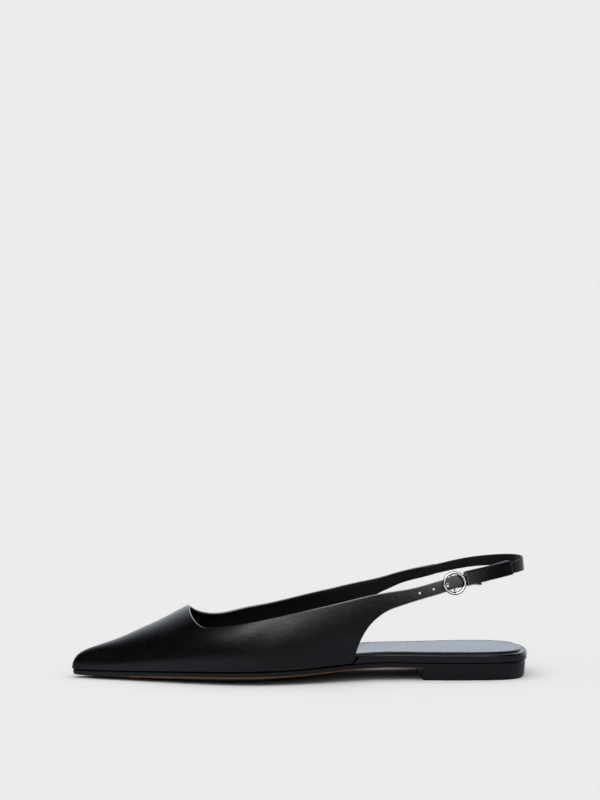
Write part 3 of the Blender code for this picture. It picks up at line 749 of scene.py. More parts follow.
def in_buckle(back, up, out):
    """Points near the buckle: back along the strap, up it, and out from its face."""
    centre, along, lift, normal = sling_frame(-body_turn(BUCKLE_PLACE))
    back, up, out = (np.asarray(v, float)[..., None] for v in (back, up, out))
    return centre + along * back + lift * up + normal * out


BAND_DEPTH = -(WALL + GAP)
BAR_DEPTH = BAND_DEPTH - (BAR_DIAMETER / 2 + GAP + PRONG_DIAMETER)
RING_DEPTH = RING_CLEARANCE + RING_WIRE / 2
PRONG_LOOP_FROM = 200
PRONG_LOOP_TURN = 250


def make_ring():
    radius = (RING_DIAMETER - RING_WIRE) / 2
    a = np.linspace(0, 2 * math.pi, 120, endpoint=False)
    path = in_buckle(radius * np.cos(a), radius * np.sin(a), np.full_like(a, RING_DEPTH))
    return wire("buckle_ring_wire", path, RING_WIRE / 2, closed=True, sides=24)


def make_bar():
    """The centre bar, bent back at both ends to meet the ring."""
    radius = (RING_DIAMETER - RING_WIRE) / 2
    bend = BAR_DIAMETER
    rows = [(radius, out) for out in np.linspace(RING_DEPTH, 0.5 * BAR_DEPTH, 6)]
    for k in range(7):
        a = math.pi / 2 * k / 6
        rows.append((radius - bend + bend * math.cos(a), BAR_DEPTH + bend - bend * math.sin(a)))
    rows += [(radius * share, BAR_DEPTH) for share in (0.7, 0.5, 0.3, 0.1)]
    rows += [(-up, out) for up, out in reversed(rows)]
    rows = np.array(rows)
    return wire("buckle_bar", in_buckle(0.0 * rows[:, 0], rows[:, 0], rows[:, 1]), BAR_DIAMETER / 2)


def make_prong():
    """A wire looped on the bar, up through the strap and over the front of the ring. Its
    path goes by how far ahead of the bar it is and how far out from the strap."""
    loop = BAR_DIAMETER / 2 + GAP + PRONG_DIAMETER / 2
    path = []
    for a in np.radians(PRONG_LOOP_FROM + PRONG_LOOP_TURN * np.arange(30) / 30):
        path.append((-loop * math.cos(a), BAR_DEPTH + loop * math.sin(a)))
    hole = prong_hole_reach()
    arc = (RING_DIAMETER - RING_WIRE) / 2
    over = RING_DEPTH + RING_WIRE / 2 + 2 * GAP + PRONG_DIAMETER / 2
    run = (
        (0.0, BAR_DEPTH + loop),
        (hole * 0.66, BAR_DEPTH + loop),
        (hole * 0.97, -WALL / 2 - GAP),
        (hole * 1.04, RING_CLEARANCE),
        (hole * 1.10, 0.55 * over),
        (arc * 0.84, 0.92 * over),
        (arc * 1.02, over),
        (arc * 1.18, over - GAP),
    )
    bend = spline(range(len(run)), run)
    path = np.array(path + bend(np.linspace(0, len(run) - 1, 64)).tolist())
    points = in_buckle(-path[:, 0], 0 * path[:, 0], path[:, 1])
    return wire("buckle_prong_wire", points, PRONG_DIAMETER / 2)


def make_band():
    """The band round the heel, from its eye on the bar to its lap in the medial strap."""
    first, last = -body_turn(BUCKLE_PLACE), body_turn(MEDIAL_END + BAND_LAP)
    around = np.linspace(first, last, 220)
    for end, sign in ((first, 1), (last, -1)):
        around = np.append(around, end + sign * np.array(BAND_END_TURNS))
    around = np.sort(around)
    back = np.exp(-((around / np.where(around < 0, *BAND_SPREAD)) ** 2))
    width = BAND_WIDTH + (BAND_BACK_WIDTH - BAND_WIDTH) * back
    shares = edge_spread(width, np.tile(ROUND_STEPS, (len(width), 1)), 12)
    height = width[:, None] * (0.5 - shares) + BAND_BACK_LIFT * back[:, None]
    face = sling_frame(around[:, None], height, BAND_DEPTH)[0]
    band = hide("sling_band", face, 0.0, BAND_THICKNESS, BAND_THICKNESS)
    centre = in_buckle(0.0, 0.0, BAR_DEPTH)
    lift = sling_frame(-body_turn(BUCKLE_PLACE))[2]
    eye = pin("band_eye", centre, lift, BAND_DEPTH - BAR_DEPTH, BAND_WIDTH)
    change = band.modifiers.new("eye", "BOOLEAN")
    change.operation = "UNION"
    change.solver = "EXACT"
    change.object = eye
    hole = pin("band_eye_hole", centre, lift, BAR_DIAMETER / 2 + GAP, 2 * BAND_WIDTH)
    slot_radius = BAND_DEPTH - BAR_DEPTH + 2 * GAP
    slot = pin("band_slot", centre, lift, slot_radius, PRONG_DIAMETER + 2 * GAP)
    punch(band, (hole, slot))
    discard((eye, hole, slot))
    return band


def make_sleeve():
    """The leather sleeve folded over both straps behind the buckle."""
    outside = GAP + SLEEVE_LEATHER
    inside = BAND_DEPTH - BAND_THICKNESS - GAP - SLEEVE_LEATHER
    middle, reach = (outside + inside) / 2, (outside - inside) / 2
    fold = SLEEVE_FOLD + SLEEVE_LEATHER / 2
    shoulder = STRAP_WIDTH / 2 + SLEEVE_OVERHANG - SLEEVE_LEATHER / 2 - SLEEVE_FOLD
    bottom = -STRAP_END_WIDTH / 2
    drop = shoulder - bottom
    ends = np.concatenate((ROUND_STEPS / drop, np.linspace(ROUND_STEPS[-1] / drop, 1, 12)[1:-1]))
    rows = [(bottom + drop * t, middle + reach) for t in ends]
    for a in np.linspace(0, math.pi, 19):
        across = math.copysign(math.sqrt(abs(math.cos(a))), math.cos(a))
        rows.append((shoulder + fold * math.sqrt(max(math.sin(a), 0.0)), middle + reach * across))
    rows += [(bottom + drop * t, middle - reach) for t in reversed(ends)]
    rows = np.array(rows)
    first, last = -body_turn(SLEEVE_FRONT), -body_turn(SLEEVE_FRONT - SLEEVE_LENGTH)
    fine = np.array(SLEEVE_END_STEPS) / SLEEVE_LENGTH
    share = np.concatenate((fine, np.linspace(fine[-1], 1 - fine[-1], 60)[1:-1], 1 - fine[::-1]))
    around = first + (last - first) * share
    face = sling_frame(around[:, None], rows[None, :, 0], rows[None, :, 1])[0]
    return hide("strap_sleeve_leather", face[:, ::-1], 0.0, SLEEVE_LEATHER, SLEEVE_LEATHER)


# Bottom


def make_outsole():
    q = stations_of(count=260)
    share = (1 - np.cos(q)) / 2
    wide = smoothstep(*SOLE_WIDENS, share)
    inset = SOLE_STEP * (1 - SOLE_SPREAD * wide + smoothstep(SOLE_TOE, 1.0, share))

    def low_round(along):
        ahead = smoothstep(HEEL_LENGTH, HEEL_LENGTH + SOLE_CORNER_GROWS, along)
        toe = smoothstep(SOLE_CORNER_TOE_FROM, 1.0, along / LENGTH)
        return SOLE_CORNER + SOLE_CORNER_AHEAD * ahead + SOLE_CORNER_TOE * toe

    return slab("leather_sole", q, inset, sole_underside, sole_top, low_round, SOLE_TOP_ROUND)


def make_heel():
    """A stacked block with an eased lower edge and a straight breast."""
    q = stations_of(0.0, float(turn(HEEL_LENGTH / LENGTH)), 110)
    base = rungs(q, SOLE_STEP + HEEL_TAPER + HEEL_ROUND, lambda x, y: 0.0 * y)
    edge = rungs(q, SOLE_STEP + HEEL_TAPER, lambda x, y: HEEL_ROUND + 0.0 * y)
    roof = rungs(q, SOLE_STEP, lambda x, y: sole_underside(x, y) - HEEL_CLEARANCE)
    for grid in (base, edge, roof):
        grid[-1, :, 0] = HEEL_BREAST
    return stack("heel_block", base, edge, roof)


def footbed_stations(step):
    """The footbed steps in where the quarters stand on the sole."""
    behind = stations_of(0.0, float(turn(step)), 140)
    ahead = stations_of(float(turn(step + GAP / LENGTH)), math.pi, 120)
    inset = np.concatenate((np.zeros(141), np.full(121, WALL + 2 * GAP)))
    return np.concatenate((behind, ahead)), inset


def make_footbed():
    low_step = REAR_CORNER - STEP_LEAD / LENGTH
    high_step = low_step - REAR_SLANT

    def plane(draw_in, height, step=high_step):
        q, inset = footbed_stations(step)
        return rungs(q, inset + draw_in, height)

    def foot(draw_in, rise):
        return plane(draw_in, lambda x, y: sole_top(x, y) + GAP + rise, low_step)

    lip = FOOTBED_LIP
    levels = [foot(lip, 0.0), foot(0.15 * lip, 0.35 * lip), foot(0.0, lip)]
    for k in range(7):
        a = math.pi / 2 * k / 6
        drop = RIM_ROUND * (1 - math.sin(a))
        levels.append(plane(RIM_ROUND * (1 - math.cos(a)), lambda x, y: footbed_top(x, y) - drop))
    return stack("footbed_cover", *levels)


def sock_inset(q):
    """The sock leaves a margin round the heel and draws in where it goes under the vamp."""
    front = smoothstep(*SOCK_NARROWS, (1 - np.cos(q)) / 2)
    return SOCK_MARGIN + (WALL + RIM_ROUND - SOCK_MARGIN / 3) * front


def sock_top(along, y):
    return footbed_top(along, y) + GAP + SOCK_THICKNESS


def make_sock():
    q = stations_of(count=240)
    return slab(
        "sock_lining",
        q,
        sock_inset(q),
        lambda x, y: footbed_top(x, y) + 0.1 * GAP,
        sock_top,
        lambda x: SOCK_ROUND_BELOW + 0.0 * x,
        SOCK_ROUND,
    )


# Stitches

STITCH_LENGTH = 2.3 * MM
STITCH_PITCH = 3.1 * MM
STITCH_THICK = 0.55 * MM
STITCH_INSET = 1.7 * MM
STITCH_GAP_TURN = 0.02
STITCHED_TO = 0.43
LINING_STITCH_LENGTH = 1.5 * MM
LINING_STITCH_PITCH = 2.3 * MM
LINING_STITCH_THICK = 0.4 * MM
LINING_STITCH_DROP = 1.6 * MM


def stitch_line():
    """Where the thread runs, round the heel part of the sock, from quarter to quarter."""
    q = stations_of(STITCH_GAP_TURN, float(turn(STITCHED_TO)), 160)
    grid = rungs(q, sock_inset(q) + STITCH_INSET, sock_top)
    return np.concatenate((grid[::-1, 0], grid[:, -1]))


def curve_of(name, path):
    data = bpy.data.curves.new(name, "CURVE")
    data.dimensions = "3D"
    line = data.splines.new("POLY")
    line.points.add(len(path) - 1)
    for point, place in zip(line.points, path):
        point.co = (*(Vector(place) + SHIFT), 1.0)
    thing = bpy.data.objects.new(name, data)
    bpy.context.scene.collection.objects.link(thing)
    return thing


def stitch_tree(finish):
    """Lays a stitch at every pitch along a curve: a rounded stub of thread of few faces."""
    tree = bpy.data.node_groups.new("stitch_row", "GeometryNodeTree")
    face = tree.interface
    face.new_socket("Line", in_out="INPUT", socket_type="NodeSocketGeometry")
    for label in ("Pitch", "Length", "Thickness"):
        face.new_socket(label, in_out="INPUT", socket_type="NodeSocketFloat")
    face.new_socket("Row", in_out="OUTPUT", socket_type="NodeSocketGeometry")
    given = add(tree, "NodeGroupInput").outputs
    thick = given["Thickness"]
    size = add(tree, "ShaderNodeCombineXYZ", {0: thick, 1: thick, 2: given["Length"]})
    ball = add(tree, "GeometryNodeMeshUVSphere", {"Segments": 8, "Rings": 6, "Radius": 0.5})
    stub = add(tree, "GeometryNodeTransform", {0: ball, "Scale": size})
    spaced = {0: given["Line"], "Length": given["Pitch"]}
    places = add(tree, "GeometryNodeCurveToPoints", spaced, mode="LENGTH")
    laid = {"Points": places, "Instance": stub, "Rotation": places.outputs["Rotation"]}
    row = add(tree, "GeometryNodeInstanceOnPoints", laid)
    real = add(tree, "GeometryNodeRealizeInstances", {0: row})
    painted = add(tree, "GeometryNodeSetMaterial", {0: real, "Material": finish})
    add(tree, "NodeGroupOutput", {0: painted})
    return tree


def lining_stitch_line(face):
    """Where the topline's thread runs on the lining, a little below the cut edge."""
    steps = np.linalg.norm(np.diff(face, axis=1), axis=2)
    reach = np.concatenate((np.zeros((len(face), 1)), np.cumsum(steps, axis=1)), axis=1)
    inner = face - normals_of(face) * (WALL + GAP / 2)
    path = []
    for row, marks in zip(inner, reach):
        if marks[-1] > 2 * STRAP_WIDTH:
            path.append([np.interp(LINING_STITCH_DROP, marks, row[:, k]) for k in range(3)])
    return np.array(path)


def make_stitches(name, path, finish, pitch, length, thick):
    """A row of stitches along a path, as one plain mesh."""
    line = curve_of(name + "_line", path)
    change = line.modifiers.new("stitches", "NODES")
    change.node_group = stitch_tree(finish)
    sizes = {"Pitch": pitch, "Length": length, "Thickness": thick}
    for item in change.node_group.interface.items_tree:
        if item.name in sizes:
            change[item.identifier] = sizes[item.name]
    graph = bpy.context.evaluated_depsgraph_get()
    data = bpy.data.meshes.new_from_object(line.evaluated_get(graph))
    thing = bpy.data.objects.new(name, data)
    bpy.context.scene.collection.objects.link(thing)
    data.shade_smooth()
    discard((line,))
    return thing


# Finishes

# How far apart the clouds of dye, ripples of ink, fibres, marks and grains are
DYE_CLOUD = 10.53 * MM
TAN_CLOUD = 16.67 * MM
INK_RIPPLE = 2.381 * MM
SOLE_FIBRE = 1.111 * MM
THREAD_TWIST = 1.111 * MM
HANDLING_MARK = 0.7143 * MM
CEMENT_GRAIN = 1.667 * MM
SKIN_DEPTH = 0.05 * MM

# How near its edge a piece takes the light grey of the cut edge, a painted highlight, and the upper
# the black of the seam, painted shade in the groove
UPPER_HIGHLIGHT_EDGE = 0.4 * MM
LINING_HIGHLIGHT_EDGE = 0.3 * MM
SLEEVE_HIGHLIGHT_EDGE = 0.2 * MM
SEAM_SHADE_EDGE = 0.5 * MM

# Height that the lasted edge of the upper stays below, and where the toe's ink ends
LASTED_EDGE = 0.0125
TOE_INKED = -0.099

# How far the sole's faces look up or down
TREAD_FACING = -0.80
CORNER_FACING = (-0.90, -0.55)
SEAT_FACING = 0.3


def linear(code):
    """A colour from its sRGB hex code."""
    parts = [int(code[k : k + 2], 16) / 255 for k in (1, 3, 5)]
    return (*[c / 12.92 if c <= 0.04045 else ((c + 0.055) / 1.055) ** 2.4 for c in parts], 1.0)


def feed(tree, node, inputs):
    """Sets a node's values and links; a node given as a value is read at its first output."""
    for key, value in inputs.items():
        if isinstance(value, bpy.types.Node):
            value = value.outputs[0]
        if isinstance(value, bpy.types.NodeSocket):
            tree.links.new(value, node.inputs[key])
        else:
            node.inputs[key].default_value = value
    return node


def add(tree, kind, inputs=None, **settings):
    """One node with its settings, values and links."""
    node = tree.nodes.new(kind)
    for key, value in settings.items():
        setattr(node, key, value)
    return feed(tree, node, inputs or {})


def blank(name):
    """A new material, its tree, its shader and the place on the piece for its patterns."""
    made = bpy.data.materials.new(name)
    made.use_nodes = True
    tree = made.node_tree
    place = add(tree, "ShaderNodeTexCoord").outputs["Object"]
    return made, tree, tree.nodes["Principled BSDF"], place


def calf(name, tint, worn, rough, grain=0.80 * MM, depth=0.06 * MM, coat=0.12):
    """Smooth dyed calf: round pores and faint stretch lines under a thin polish, so that a
    highlight breaks into specks at its edge. Real pores are about 0.3 mm apart, too fine to
    show, so they are drawn up to three times as coarse."""
    made, tree, shader, place = blank(name)
    pores = add(tree, "ShaderNodeTexVoronoi", {"Vector": place, "Scale": 1 / grain})
    lines = add(tree, "ShaderNodeTexNoise", {"Vector": place, "Scale": 2.2 / grain, "Detail": 3.0})
    dyed = {"Vector": place, "Scale": 1 / DYE_CLOUD, "Detail": 4.0}
    cloud = add(tree, "ShaderNodeTexNoise", dyed)
    height = add(tree, "ShaderNodeMath", {0: pores, 1: lines}, operation="ADD")
    bump = add(tree, "ShaderNodeBump", {"Strength": 0.8, "Distance": depth, "Height": height})
    tints = {0: cloud, 6: linear(tint), 7: linear(worn)}
    colour = add(tree, "ShaderNodeMix", tints, data_type="RGBA")
    gloss = add(tree, "ShaderNodeMapRange", {0: cloud, 3: rough - 0.05, 4: rough + 0.07})
    looks = {"Base Color": colour.outputs[2], "Roughness": gloss, "Normal": bump}
    feed(tree, shader, looks | {"Coat Weight": coat, "Coat Roughness": 0.16})
    return made


def edge_ink(name, tint, light, rough):
    """Painted cut edge: a thick smooth film with slight ripples that catches a fine light. Given
    light grey tints, its colour is a painted highlight.
    """
    made, tree, shader, place = blank(name)
    rippled = {"Vector": place, "Scale": 1 / INK_RIPPLE, "Detail": 2.0}
    ripple = add(tree, "ShaderNodeTexNoise", rippled)
    bump = add(tree, "ShaderNodeBump", {"Strength": 0.3, "Distance": SKIN_DEPTH, "Height": ripple})
    tints = {0: ripple, 6: linear(tint), 7: linear(light)}
    colour = add(tree, "ShaderNodeMix", tints, data_type="RGBA")
    gloss = add(tree, "ShaderNodeMapRange", {0: ripple, 3: rough - 0.06, 4: rough + 0.1})
    feed(tree, shader, {"Base Color": colour.outputs[2], "Roughness": gloss, "Normal": bump})
    return made


def sole_leather(name, tint, light):
    """Vegetable tanned sole leather: tan, matt, with fibres along it. The fibres are drawn
    about ten times as coarse as real ones, which are too fine to show."""
    made, tree, shader, place = blank(name)
    stretched = add(tree, "ShaderNodeMapping", {0: place, "Scale": (0.25, 1.0, 1.0)})
    fibrous = {"Vector": stretched, "Scale": 1 / SOLE_FIBRE, "Detail": 5.0}
    fibre = add(tree, "ShaderNodeTexNoise", fibrous)
    tanned = {"Vector": place, "Scale": 1 / TAN_CLOUD, "Detail": 3.0}
    cloud = add(tree, "ShaderNodeTexNoise", tanned)
    bump = add(tree, "ShaderNodeBump", {"Strength": 0.4, "Distance": SKIN_DEPTH, "Height": fibre})
    tints = {0: cloud, 6: linear(tint), 7: linear(light)}
    colour = add(tree, "ShaderNodeMix", tints, data_type="RGBA")
    gloss = add(tree, "ShaderNodeMapRange", {0: fibre, 3: 0.45, 4: 0.65})
    feed(tree, shader, {"Base Color": colour.outputs[2], "Roughness": gloss, "Normal": bump})
    return made


def plated(name, tint, painted_side_shade, rough):
    """Nickel plated steel wire, polished: a mirror with faint handling marks. Its colour darkens
    where the wire turns from the view: painted shade on its sides."""
    made, tree, shader, place = blank(name)
    handled = {"Vector": place, "Scale": 1 / HANDLING_MARK, "Detail": 3.0}
    marks = add(tree, "ShaderNodeTexNoise", handled)
    # Painted shade: the colour darkens as the surface turns from the view
    turned = add(tree, "ShaderNodeLayerWeight", {"Blend": 0.35}).outputs["Facing"]
    tints = {0: turned, 6: linear(tint), 7: linear(painted_side_shade)}
    colour = add(tree, "ShaderNodeMix", tints, data_type="RGBA")
    gloss = add(tree, "ShaderNodeMapRange", {0: marks, 3: rough, 4: rough + 0.08})
    feed(tree, shader, {"Base Color": colour.outputs[2], "Roughness": gloss, "Metallic": 1.0})
    return made


def waxed_thread(name, tint, light):
    """Waxed polyester thread: two plies twisted, with a soft gloss. The twist is drawn two
    to three times as coarse as a real one, which is too fine to show."""
    made, tree, shader, place = blank(name)
    twisted = {"Vector": place, "Scale": 1 / THREAD_TWIST, "Distortion": 2.0}
    twist = add(tree, "ShaderNodeTexWave", twisted)
    bump = add(tree, "ShaderNodeBump", {"Strength": 0.5, "Distance": SKIN_DEPTH, "Height": twist})
    tints = {0: twist, 6: linear(tint), 7: linear(light)}
    colour = add(tree, "ShaderNodeMix", tints, data_type="RGBA")
    feed(tree, shader, {"Base Color": colour.outputs[2], "Roughness": 0.42, "Normal": bump})
    return made


def groove_shade_cement():
    """Matt black cement in the groove between upper and sole, which swallows light; its black band
    is painted shade in the groove.
    """
    made, tree, shader, place = blank("black_cement_painted_groove_shade")
    grainy = {"Vector": place, "Scale": 1 / CEMENT_GRAIN, "Detail": 2.0}
    grain = add(tree, "ShaderNodeTexNoise", grainy)
    gloss = add(tree, "ShaderNodeMapRange", {0: grain, 3: 0.75, 4: 0.95})
    dark = {"Base Color": linear("#030303"), "Roughness": gloss, "Specular IOR Level": 0.15}
    feed(tree, shader, dark)
    return made


def dress(piece, slot, *materials):
    """Gives a piece its materials and its body; the slot is not used."""
    piece.data.materials.clear()
    for made in materials:
        piece.data.materials.append(made)
    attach(piece, "root")
    return piece


def mark_faces(piece, test, number=1):
    """Gives the faces that pass a test another of the piece's materials."""
    for face in piece.data.polygons:
        if test(face):
            face.material_index = number


def mark_edges(piece, width, low=0.0, high=1.0, number=1):
    """Gives the faces within this distance of a cut edge, between two heights, another of
    the piece's materials."""
    values = np.zeros(len(piece.data.vertices))
    piece.data.attributes["edge"].data.foreach_get("value", values)

    def near_edge(part):
        return low < part.center.z < high and np.mean(values[list(part.vertices)]) < width

    mark_faces(piece, near_edge, number)


def on_shaded_tread(part):
    """The sole's underside ahead of the heel, whose darkened tan is painted shade."""
    return part.normal.z < TREAD_FACING and part.center.x < HEEL_BREAST


def on_sole_corner(part):
    """Where the edge ink stops short of the tread, from the toe's end to the heel."""
    low, high = CORNER_FACING
    return low < part.normal.z < high and TOE_INKED < part.center.x < HEEL_BREAST


def on_seat_and_groove_shade(part):
    """The sole's top, where it is cemented to the upper and the footbed; its black at the groove is
    painted shade.
    """
    return part.normal.z > SEAT_FACING


# Putting it together

upper_calf = calf(
    "black_calf", "#040406", "#08080b", 0.26, grain=0.9 * MM, depth=0.07 * MM, coat=0.08
)
strap_calf = calf("black_calf_strap", "#050507", "#09090c", 0.33, grain=0.45 * MM, coat=0.0)
lining_calf = calf("black_kid_lining", "#020203", "#050506", 0.50, grain=0.40 * MM, coat=0.0)
sock_calf = calf(
    "glazed_kid_sock", "#14171e", "#1e232c", 0.17, grain=0.9 * MM, depth=0.008 * MM, coat=0.35
)
rim_calf = calf("glazed_calf_rim", "#09090b", "#0e0e11", 0.22, depth=0.02 * MM)
# The light grey of the cut edge is a painted highlight: the light line that a rounded edge catches
edge_highlight = edge_ink("edge_paint_painted_highlight", "#7c7e84", "#9c9ea4", 0.30)
sole_ink = edge_ink("burnished_sole_edge", "#09090c", "#0f0f13", 0.30)
# The tread's tan is darkened as painted shade under the sole; the corner line keeps the leather's
# own tan
tread = sole_leather("vegetable_tanned_tread_painted_shade", "#3f2b1d", "#54392a")
tread_line = sole_leather("trimmed_sole_corner", "#8c6040", "#a87852")
# Matt black in the groove between upper and sole: painted shade
groove_shade = groove_shade_cement()
chrome = plated("nickel_plate_painted_shade", "#e6e7ea", "#1c1c1f", 0.07)
# Both threads are painted lighter, the sock's light grey and the lining's dark grey: painted
# highlight of light caught by the waxed thread
thread = waxed_thread("sock_thread_painted_highlight", "#a2a7b0", "#cdd1d6")
fine_thread = waxed_thread("black_thread_painted_highlight", "#26262a", "#46474c")

face = upper_face()
holes = [strap_hole("prong_hole", BUCKLE_PLACE + prong_hole_reach(), PRONG_HOLE)]
for number in (1, 2):
    place = BUCKLE_PLACE + prong_hole_reach() + HOLE_PITCH * number
    holes.append(strap_hole("punched_hole_%d" % number, place, PUNCHED_HOLE))

upper = punch(hide("upper_calf", face, 0.0, OUTER_LEATHER), holes)
lining = punch(hide("upper_lining", face, OUTER_LEATHER, WALL), holes)
discard(holes)
dress(upper, "upper_leather", upper_calf, edge_highlight, groove_shade)
dress(lining, None, lining_calf, edge_highlight)
# Light grey faces along the cut edges are painted highlight; the black band along the lasted edge
# is painted shade in the groove
mark_edges(upper, UPPER_HIGHLIGHT_EDGE, low=LASTED_EDGE)
mark_edges(upper, SEAM_SHADE_EDGE, high=LASTED_EDGE, number=2)
mark_edges(lining, LINING_HIGHLIGHT_EDGE, low=LASTED_EDGE)
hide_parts("upper")

band = dress(make_band(), "strap_leather", strap_calf)
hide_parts("back_strap")

sleeve = dress(make_sleeve(), "strap_leather", strap_calf, edge_highlight)
# Light grey faces along the sleeve's cut edges: painted highlight
mark_edges(sleeve, SLEEVE_HIGHLIGHT_EDGE)
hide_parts("strap_sleeve")

ring = dress(make_ring(), "plated_metal", chrome)
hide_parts("buckle_ring")
dress(make_bar(), "plated_metal", chrome)
prong = dress(make_prong(), "plated_metal", chrome)
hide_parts("buckle_prong")

sole = dress(make_outsole(), "sole_leather", sole_ink, tread, tread_line, groove_shade)
mark_faces(sole, on_shaded_tread)
mark_faces(sole, on_sole_corner, 2)
mark_faces(sole, on_seat_and_groove_shade, 3)
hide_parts("outsole")

heel = dress(make_heel(), "heel_cover", sole_ink)
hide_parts("heel")

footbed = dress(make_footbed(), "footbed_leather", rim_calf)
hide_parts("footbed")

sock = dress(make_sock(), "sock_leather", sock_calf)
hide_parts("sock")
row = make_stitches(
    "sock_stitches", stitch_line(), thread, STITCH_PITCH, STITCH_LENGTH, STITCH_THICK
)
dress(row, "sock_leather", thread)
row = make_stitches(
    "lining_stitches",
    lining_stitch_line(face),
    fine_thread,
    LINING_STITCH_PITCH,
    LINING_STITCH_LENGTH,
    LINING_STITCH_THICK,
)
dress(row, None, fine_thread)


# Stage

BACKDROP = linear("#ececec")[0]
FLOOR_WHITE = 0.80
FLOOR_REACH = 30.0
DOME_POWER = 1.5
DOME_LEAN = 0.85

# Painted shade of the floor as gloss shows it: one grey turns into another towards the toe
# (x), and behind the shoe (y) it turns white
GREY_ALONG = (-0.02, -0.10)
WHITE_BEHIND = (0.03, 0.08)

# The room as gloss shows it: the wall brightens towards the back and ends below the roof,
# in shares of the way straight back and straight up
WALL_FROM = (0.0, 0.8)
ROOF_FROM = (0.74, 0.92)
FRONT_LIGHT = 0.004
ROOF_LIGHT = 0.03


def make_floor():
    """Matt white paper. Gloss shows it grey: painted shade of the floor near the shoe, as the
    leather reflects it.
    """
    data = bpy.data.meshes.new("floor")
    far = FLOOR_REACH
    corners = [(-far, -far, 0), (far, -far, 0), (far, far, 0), (-far, far, 0)]
    data.from_pydata(corners, [], [(0, 1, 2, 3)])
    floor = bpy.data.objects.new("floor", data)
    bpy.context.scene.collection.objects.link(floor)
    made, tree, shader, place = blank("matt_white_paper")
    white = (FLOOR_WHITE, FLOOR_WHITE, FLOOR_WHITE, 1.0)
    gloss = add(tree, "ShaderNodeLightPath").outputs["Is Glossy Ray"]
    parts = add(tree, "ShaderNodeSeparateXYZ", {0: place}).outputs
    along = add(tree, "ShaderNodeMapRange", {0: parts[0], 1: GREY_ALONG[0], 2: GREY_ALONG[1]})
    whiter = {0: parts[1], 1: WHITE_BEHIND[0], 2: WHITE_BEHIND[1]}
    behind = add(tree, "ShaderNodeMapRange", whiter)
    greys = {0: along, 6: linear("#8c8d98"), 7: linear("#a9aab6")}
    dim = add(tree, "ShaderNodeMix", greys, data_type="RGBA")
    dim = add(tree, "ShaderNodeMix", {0: behind, 6: dim.outputs[2], 7: white}, data_type="RGBA")
    seen = add(tree, "ShaderNodeMix", {0: gloss, 6: white, 7: dim.outputs[2]}, data_type="RGBA")
    matt = {"Base Color": seen.outputs[2], "Roughness": 1.0, "Specular IOR Level": 0.0}
    feed(tree, shader, matt)
    data.materials.append(made)


def make_world():
    """An even pale room for the camera and the floor; what gloss reflects is a bright wall
    behind the shoe and a dim room in front of it."""
    world = bpy.data.worlds.new("studio")
    bpy.context.scene.world = world
    world.use_nodes = True
    world.cycles.sampling_method = "NONE"
    tree = world.node_tree
    tree.nodes.clear()
    ray = add(tree, "ShaderNodeLightPath").outputs
    way = add(tree, "ShaderNodeTexCoord").outputs["Generated"]
    _, back, up = add(tree, "ShaderNodeSeparateXYZ", {0: way}).outputs

    rising = {0: back, 1: WALL_FROM[0], 2: WALL_FROM[1], 3: FRONT_LIGHT, 4: 1.0}
    ending = {0: up, 1: ROOF_FROM[0], 2: ROOF_FROM[1], 3: 1.0, 4: ROOF_LIGHT}
    leaning = {0: back, 1: -1.0, 2: 1.0, 3: 1 + DOME_LEAN, 4: 1 - DOME_LEAN}
    wall = add(tree, "ShaderNodeMapRange", rising)
    roof = add(tree, "ShaderNodeMapRange", ending)
    lean = add(tree, "ShaderNodeMapRange", leaning)
    wall = add(tree, "ShaderNodeMath", {0: wall, 1: roof}, operation="MULTIPLY")
    dome = add(tree, "ShaderNodeMath", {0: up, 1: 0.0}, operation="MAXIMUM")
    dome = add(tree, "ShaderNodeMath", {0: dome, 1: DOME_POWER}, operation="POWER")
    level = BACKDROP / FLOOR_WHITE * (DOME_POWER + 2) / 2
    dome = add(tree, "ShaderNodeMath", {0: dome, 1: level}, operation="MULTIPLY")
    dome = add(tree, "ShaderNodeMath", {0: dome, 1: lean}, operation="MULTIPLY")
    glossy = add(tree, "ShaderNodeBackground", {"Strength": wall, "Color": linear("#e6eefb")})
    even = add(tree, "ShaderNodeBackground", {"Strength": dome, "Color": linear("#ffffff")})
    seen = add(tree, "ShaderNodeBackground", {"Strength": BACKDROP, "Color": linear("#ffffff")})
    room = add(tree, "ShaderNodeMixShader", {0: ray["Is Glossy Ray"], 1: even, 2: glossy})
    room = add(tree, "ShaderNodeMixShader", {0: ray["Is Camera Ray"], 1: room, 2: seen})
    add(tree, "ShaderNodeOutputWorld", {0: room})


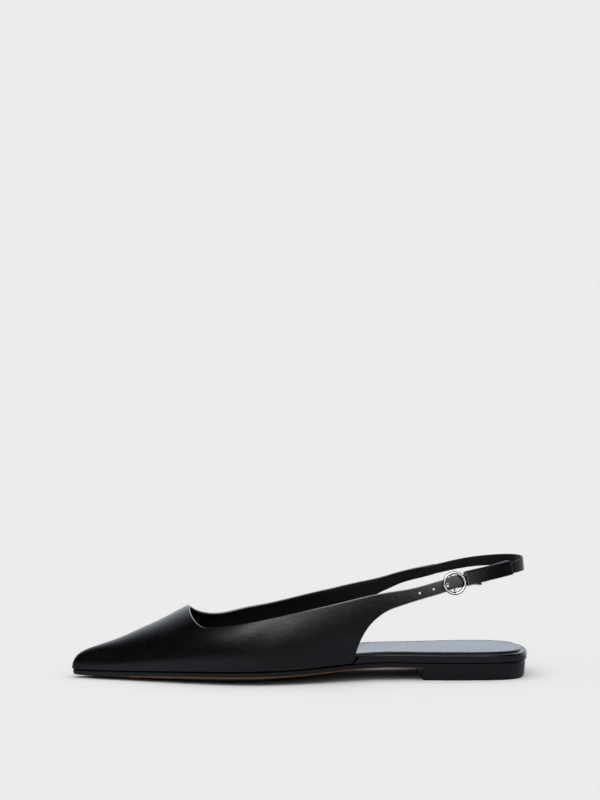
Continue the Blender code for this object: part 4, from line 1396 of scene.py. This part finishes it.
# Softboxes: name, place, width, height, power
SOFTBOXES = (
    ("front_high", (-0.15, -1.3, 1.15), 1.1, 0.5, 8.0),
    ("front_low", (0.40, -1.28, 0.66), 0.32, 0.32, 1.8),
)
SOFTBOX_AIM = Vector((0.0, 0.0, 0.03))


def make_softbox(name, place, width, height, power):
    data = bpy.data.lights.new(name, "AREA")
    data.shape = "RECTANGLE"
    data.size = width
    data.size_y = height
    data.energy = power
    lamp = bpy.data.objects.new(name, data)
    lamp.location = place
    lamp.rotation_euler = (SOFTBOX_AIM - Vector(place)).to_track_quat("-Z", "Y").to_euler()
    lamp.visible_camera = False
    lamp.visible_diffuse = False
    bpy.context.scene.collection.objects.link(lamp)


# The photograph is 800 pixels high, and the place that the camera aims at is on this row
PHOTO_HEIGHT = 800
AIM_ROW = 641
AIM = Vector((0.0, 0.0, 0.020))
CAMERA_REACH = 1.5
CAMERA_TURN = math.radians(3.4)
CAMERA_ELEVATION = math.radians(8.5)
CAMERA_LENS = 116.0
SENSOR = 36.0
LENS_PIXELS = CAMERA_LENS / SENSOR * PHOTO_HEIGHT
AIM_BELOW_CENTRE = math.atan((AIM_ROW - PHOTO_HEIGHT / 2) / LENS_PIXELS)


def towards_camera(elevation):
    """The direction from the shoe to the camera at this elevation."""
    level = math.cos(elevation)
    ahead = (-math.sin(CAMERA_TURN) * level, -math.cos(CAMERA_TURN) * level)
    return Vector((*ahead, math.sin(elevation)))


def make_camera():
    data = bpy.data.cameras.new("camera")
    data.lens = CAMERA_LENS
    data.sensor_width = SENSOR
    camera = bpy.data.objects.new("camera", data)
    camera.location = AIM + CAMERA_REACH * towards_camera(CAMERA_ELEVATION)
    look = -towards_camera(CAMERA_ELEVATION - AIM_BELOW_CENTRE)
    camera.rotation_euler = look.to_track_quat("-Z", "Y").to_euler()
    bpy.context.scene.collection.objects.link(camera)
    bpy.context.scene.camera = camera


make_floor()
make_world()
make_camera()
for softbox in SOFTBOXES:
    make_softbox(*softbox)
bpy.context.scene.view_settings.view_transform = "Standard"
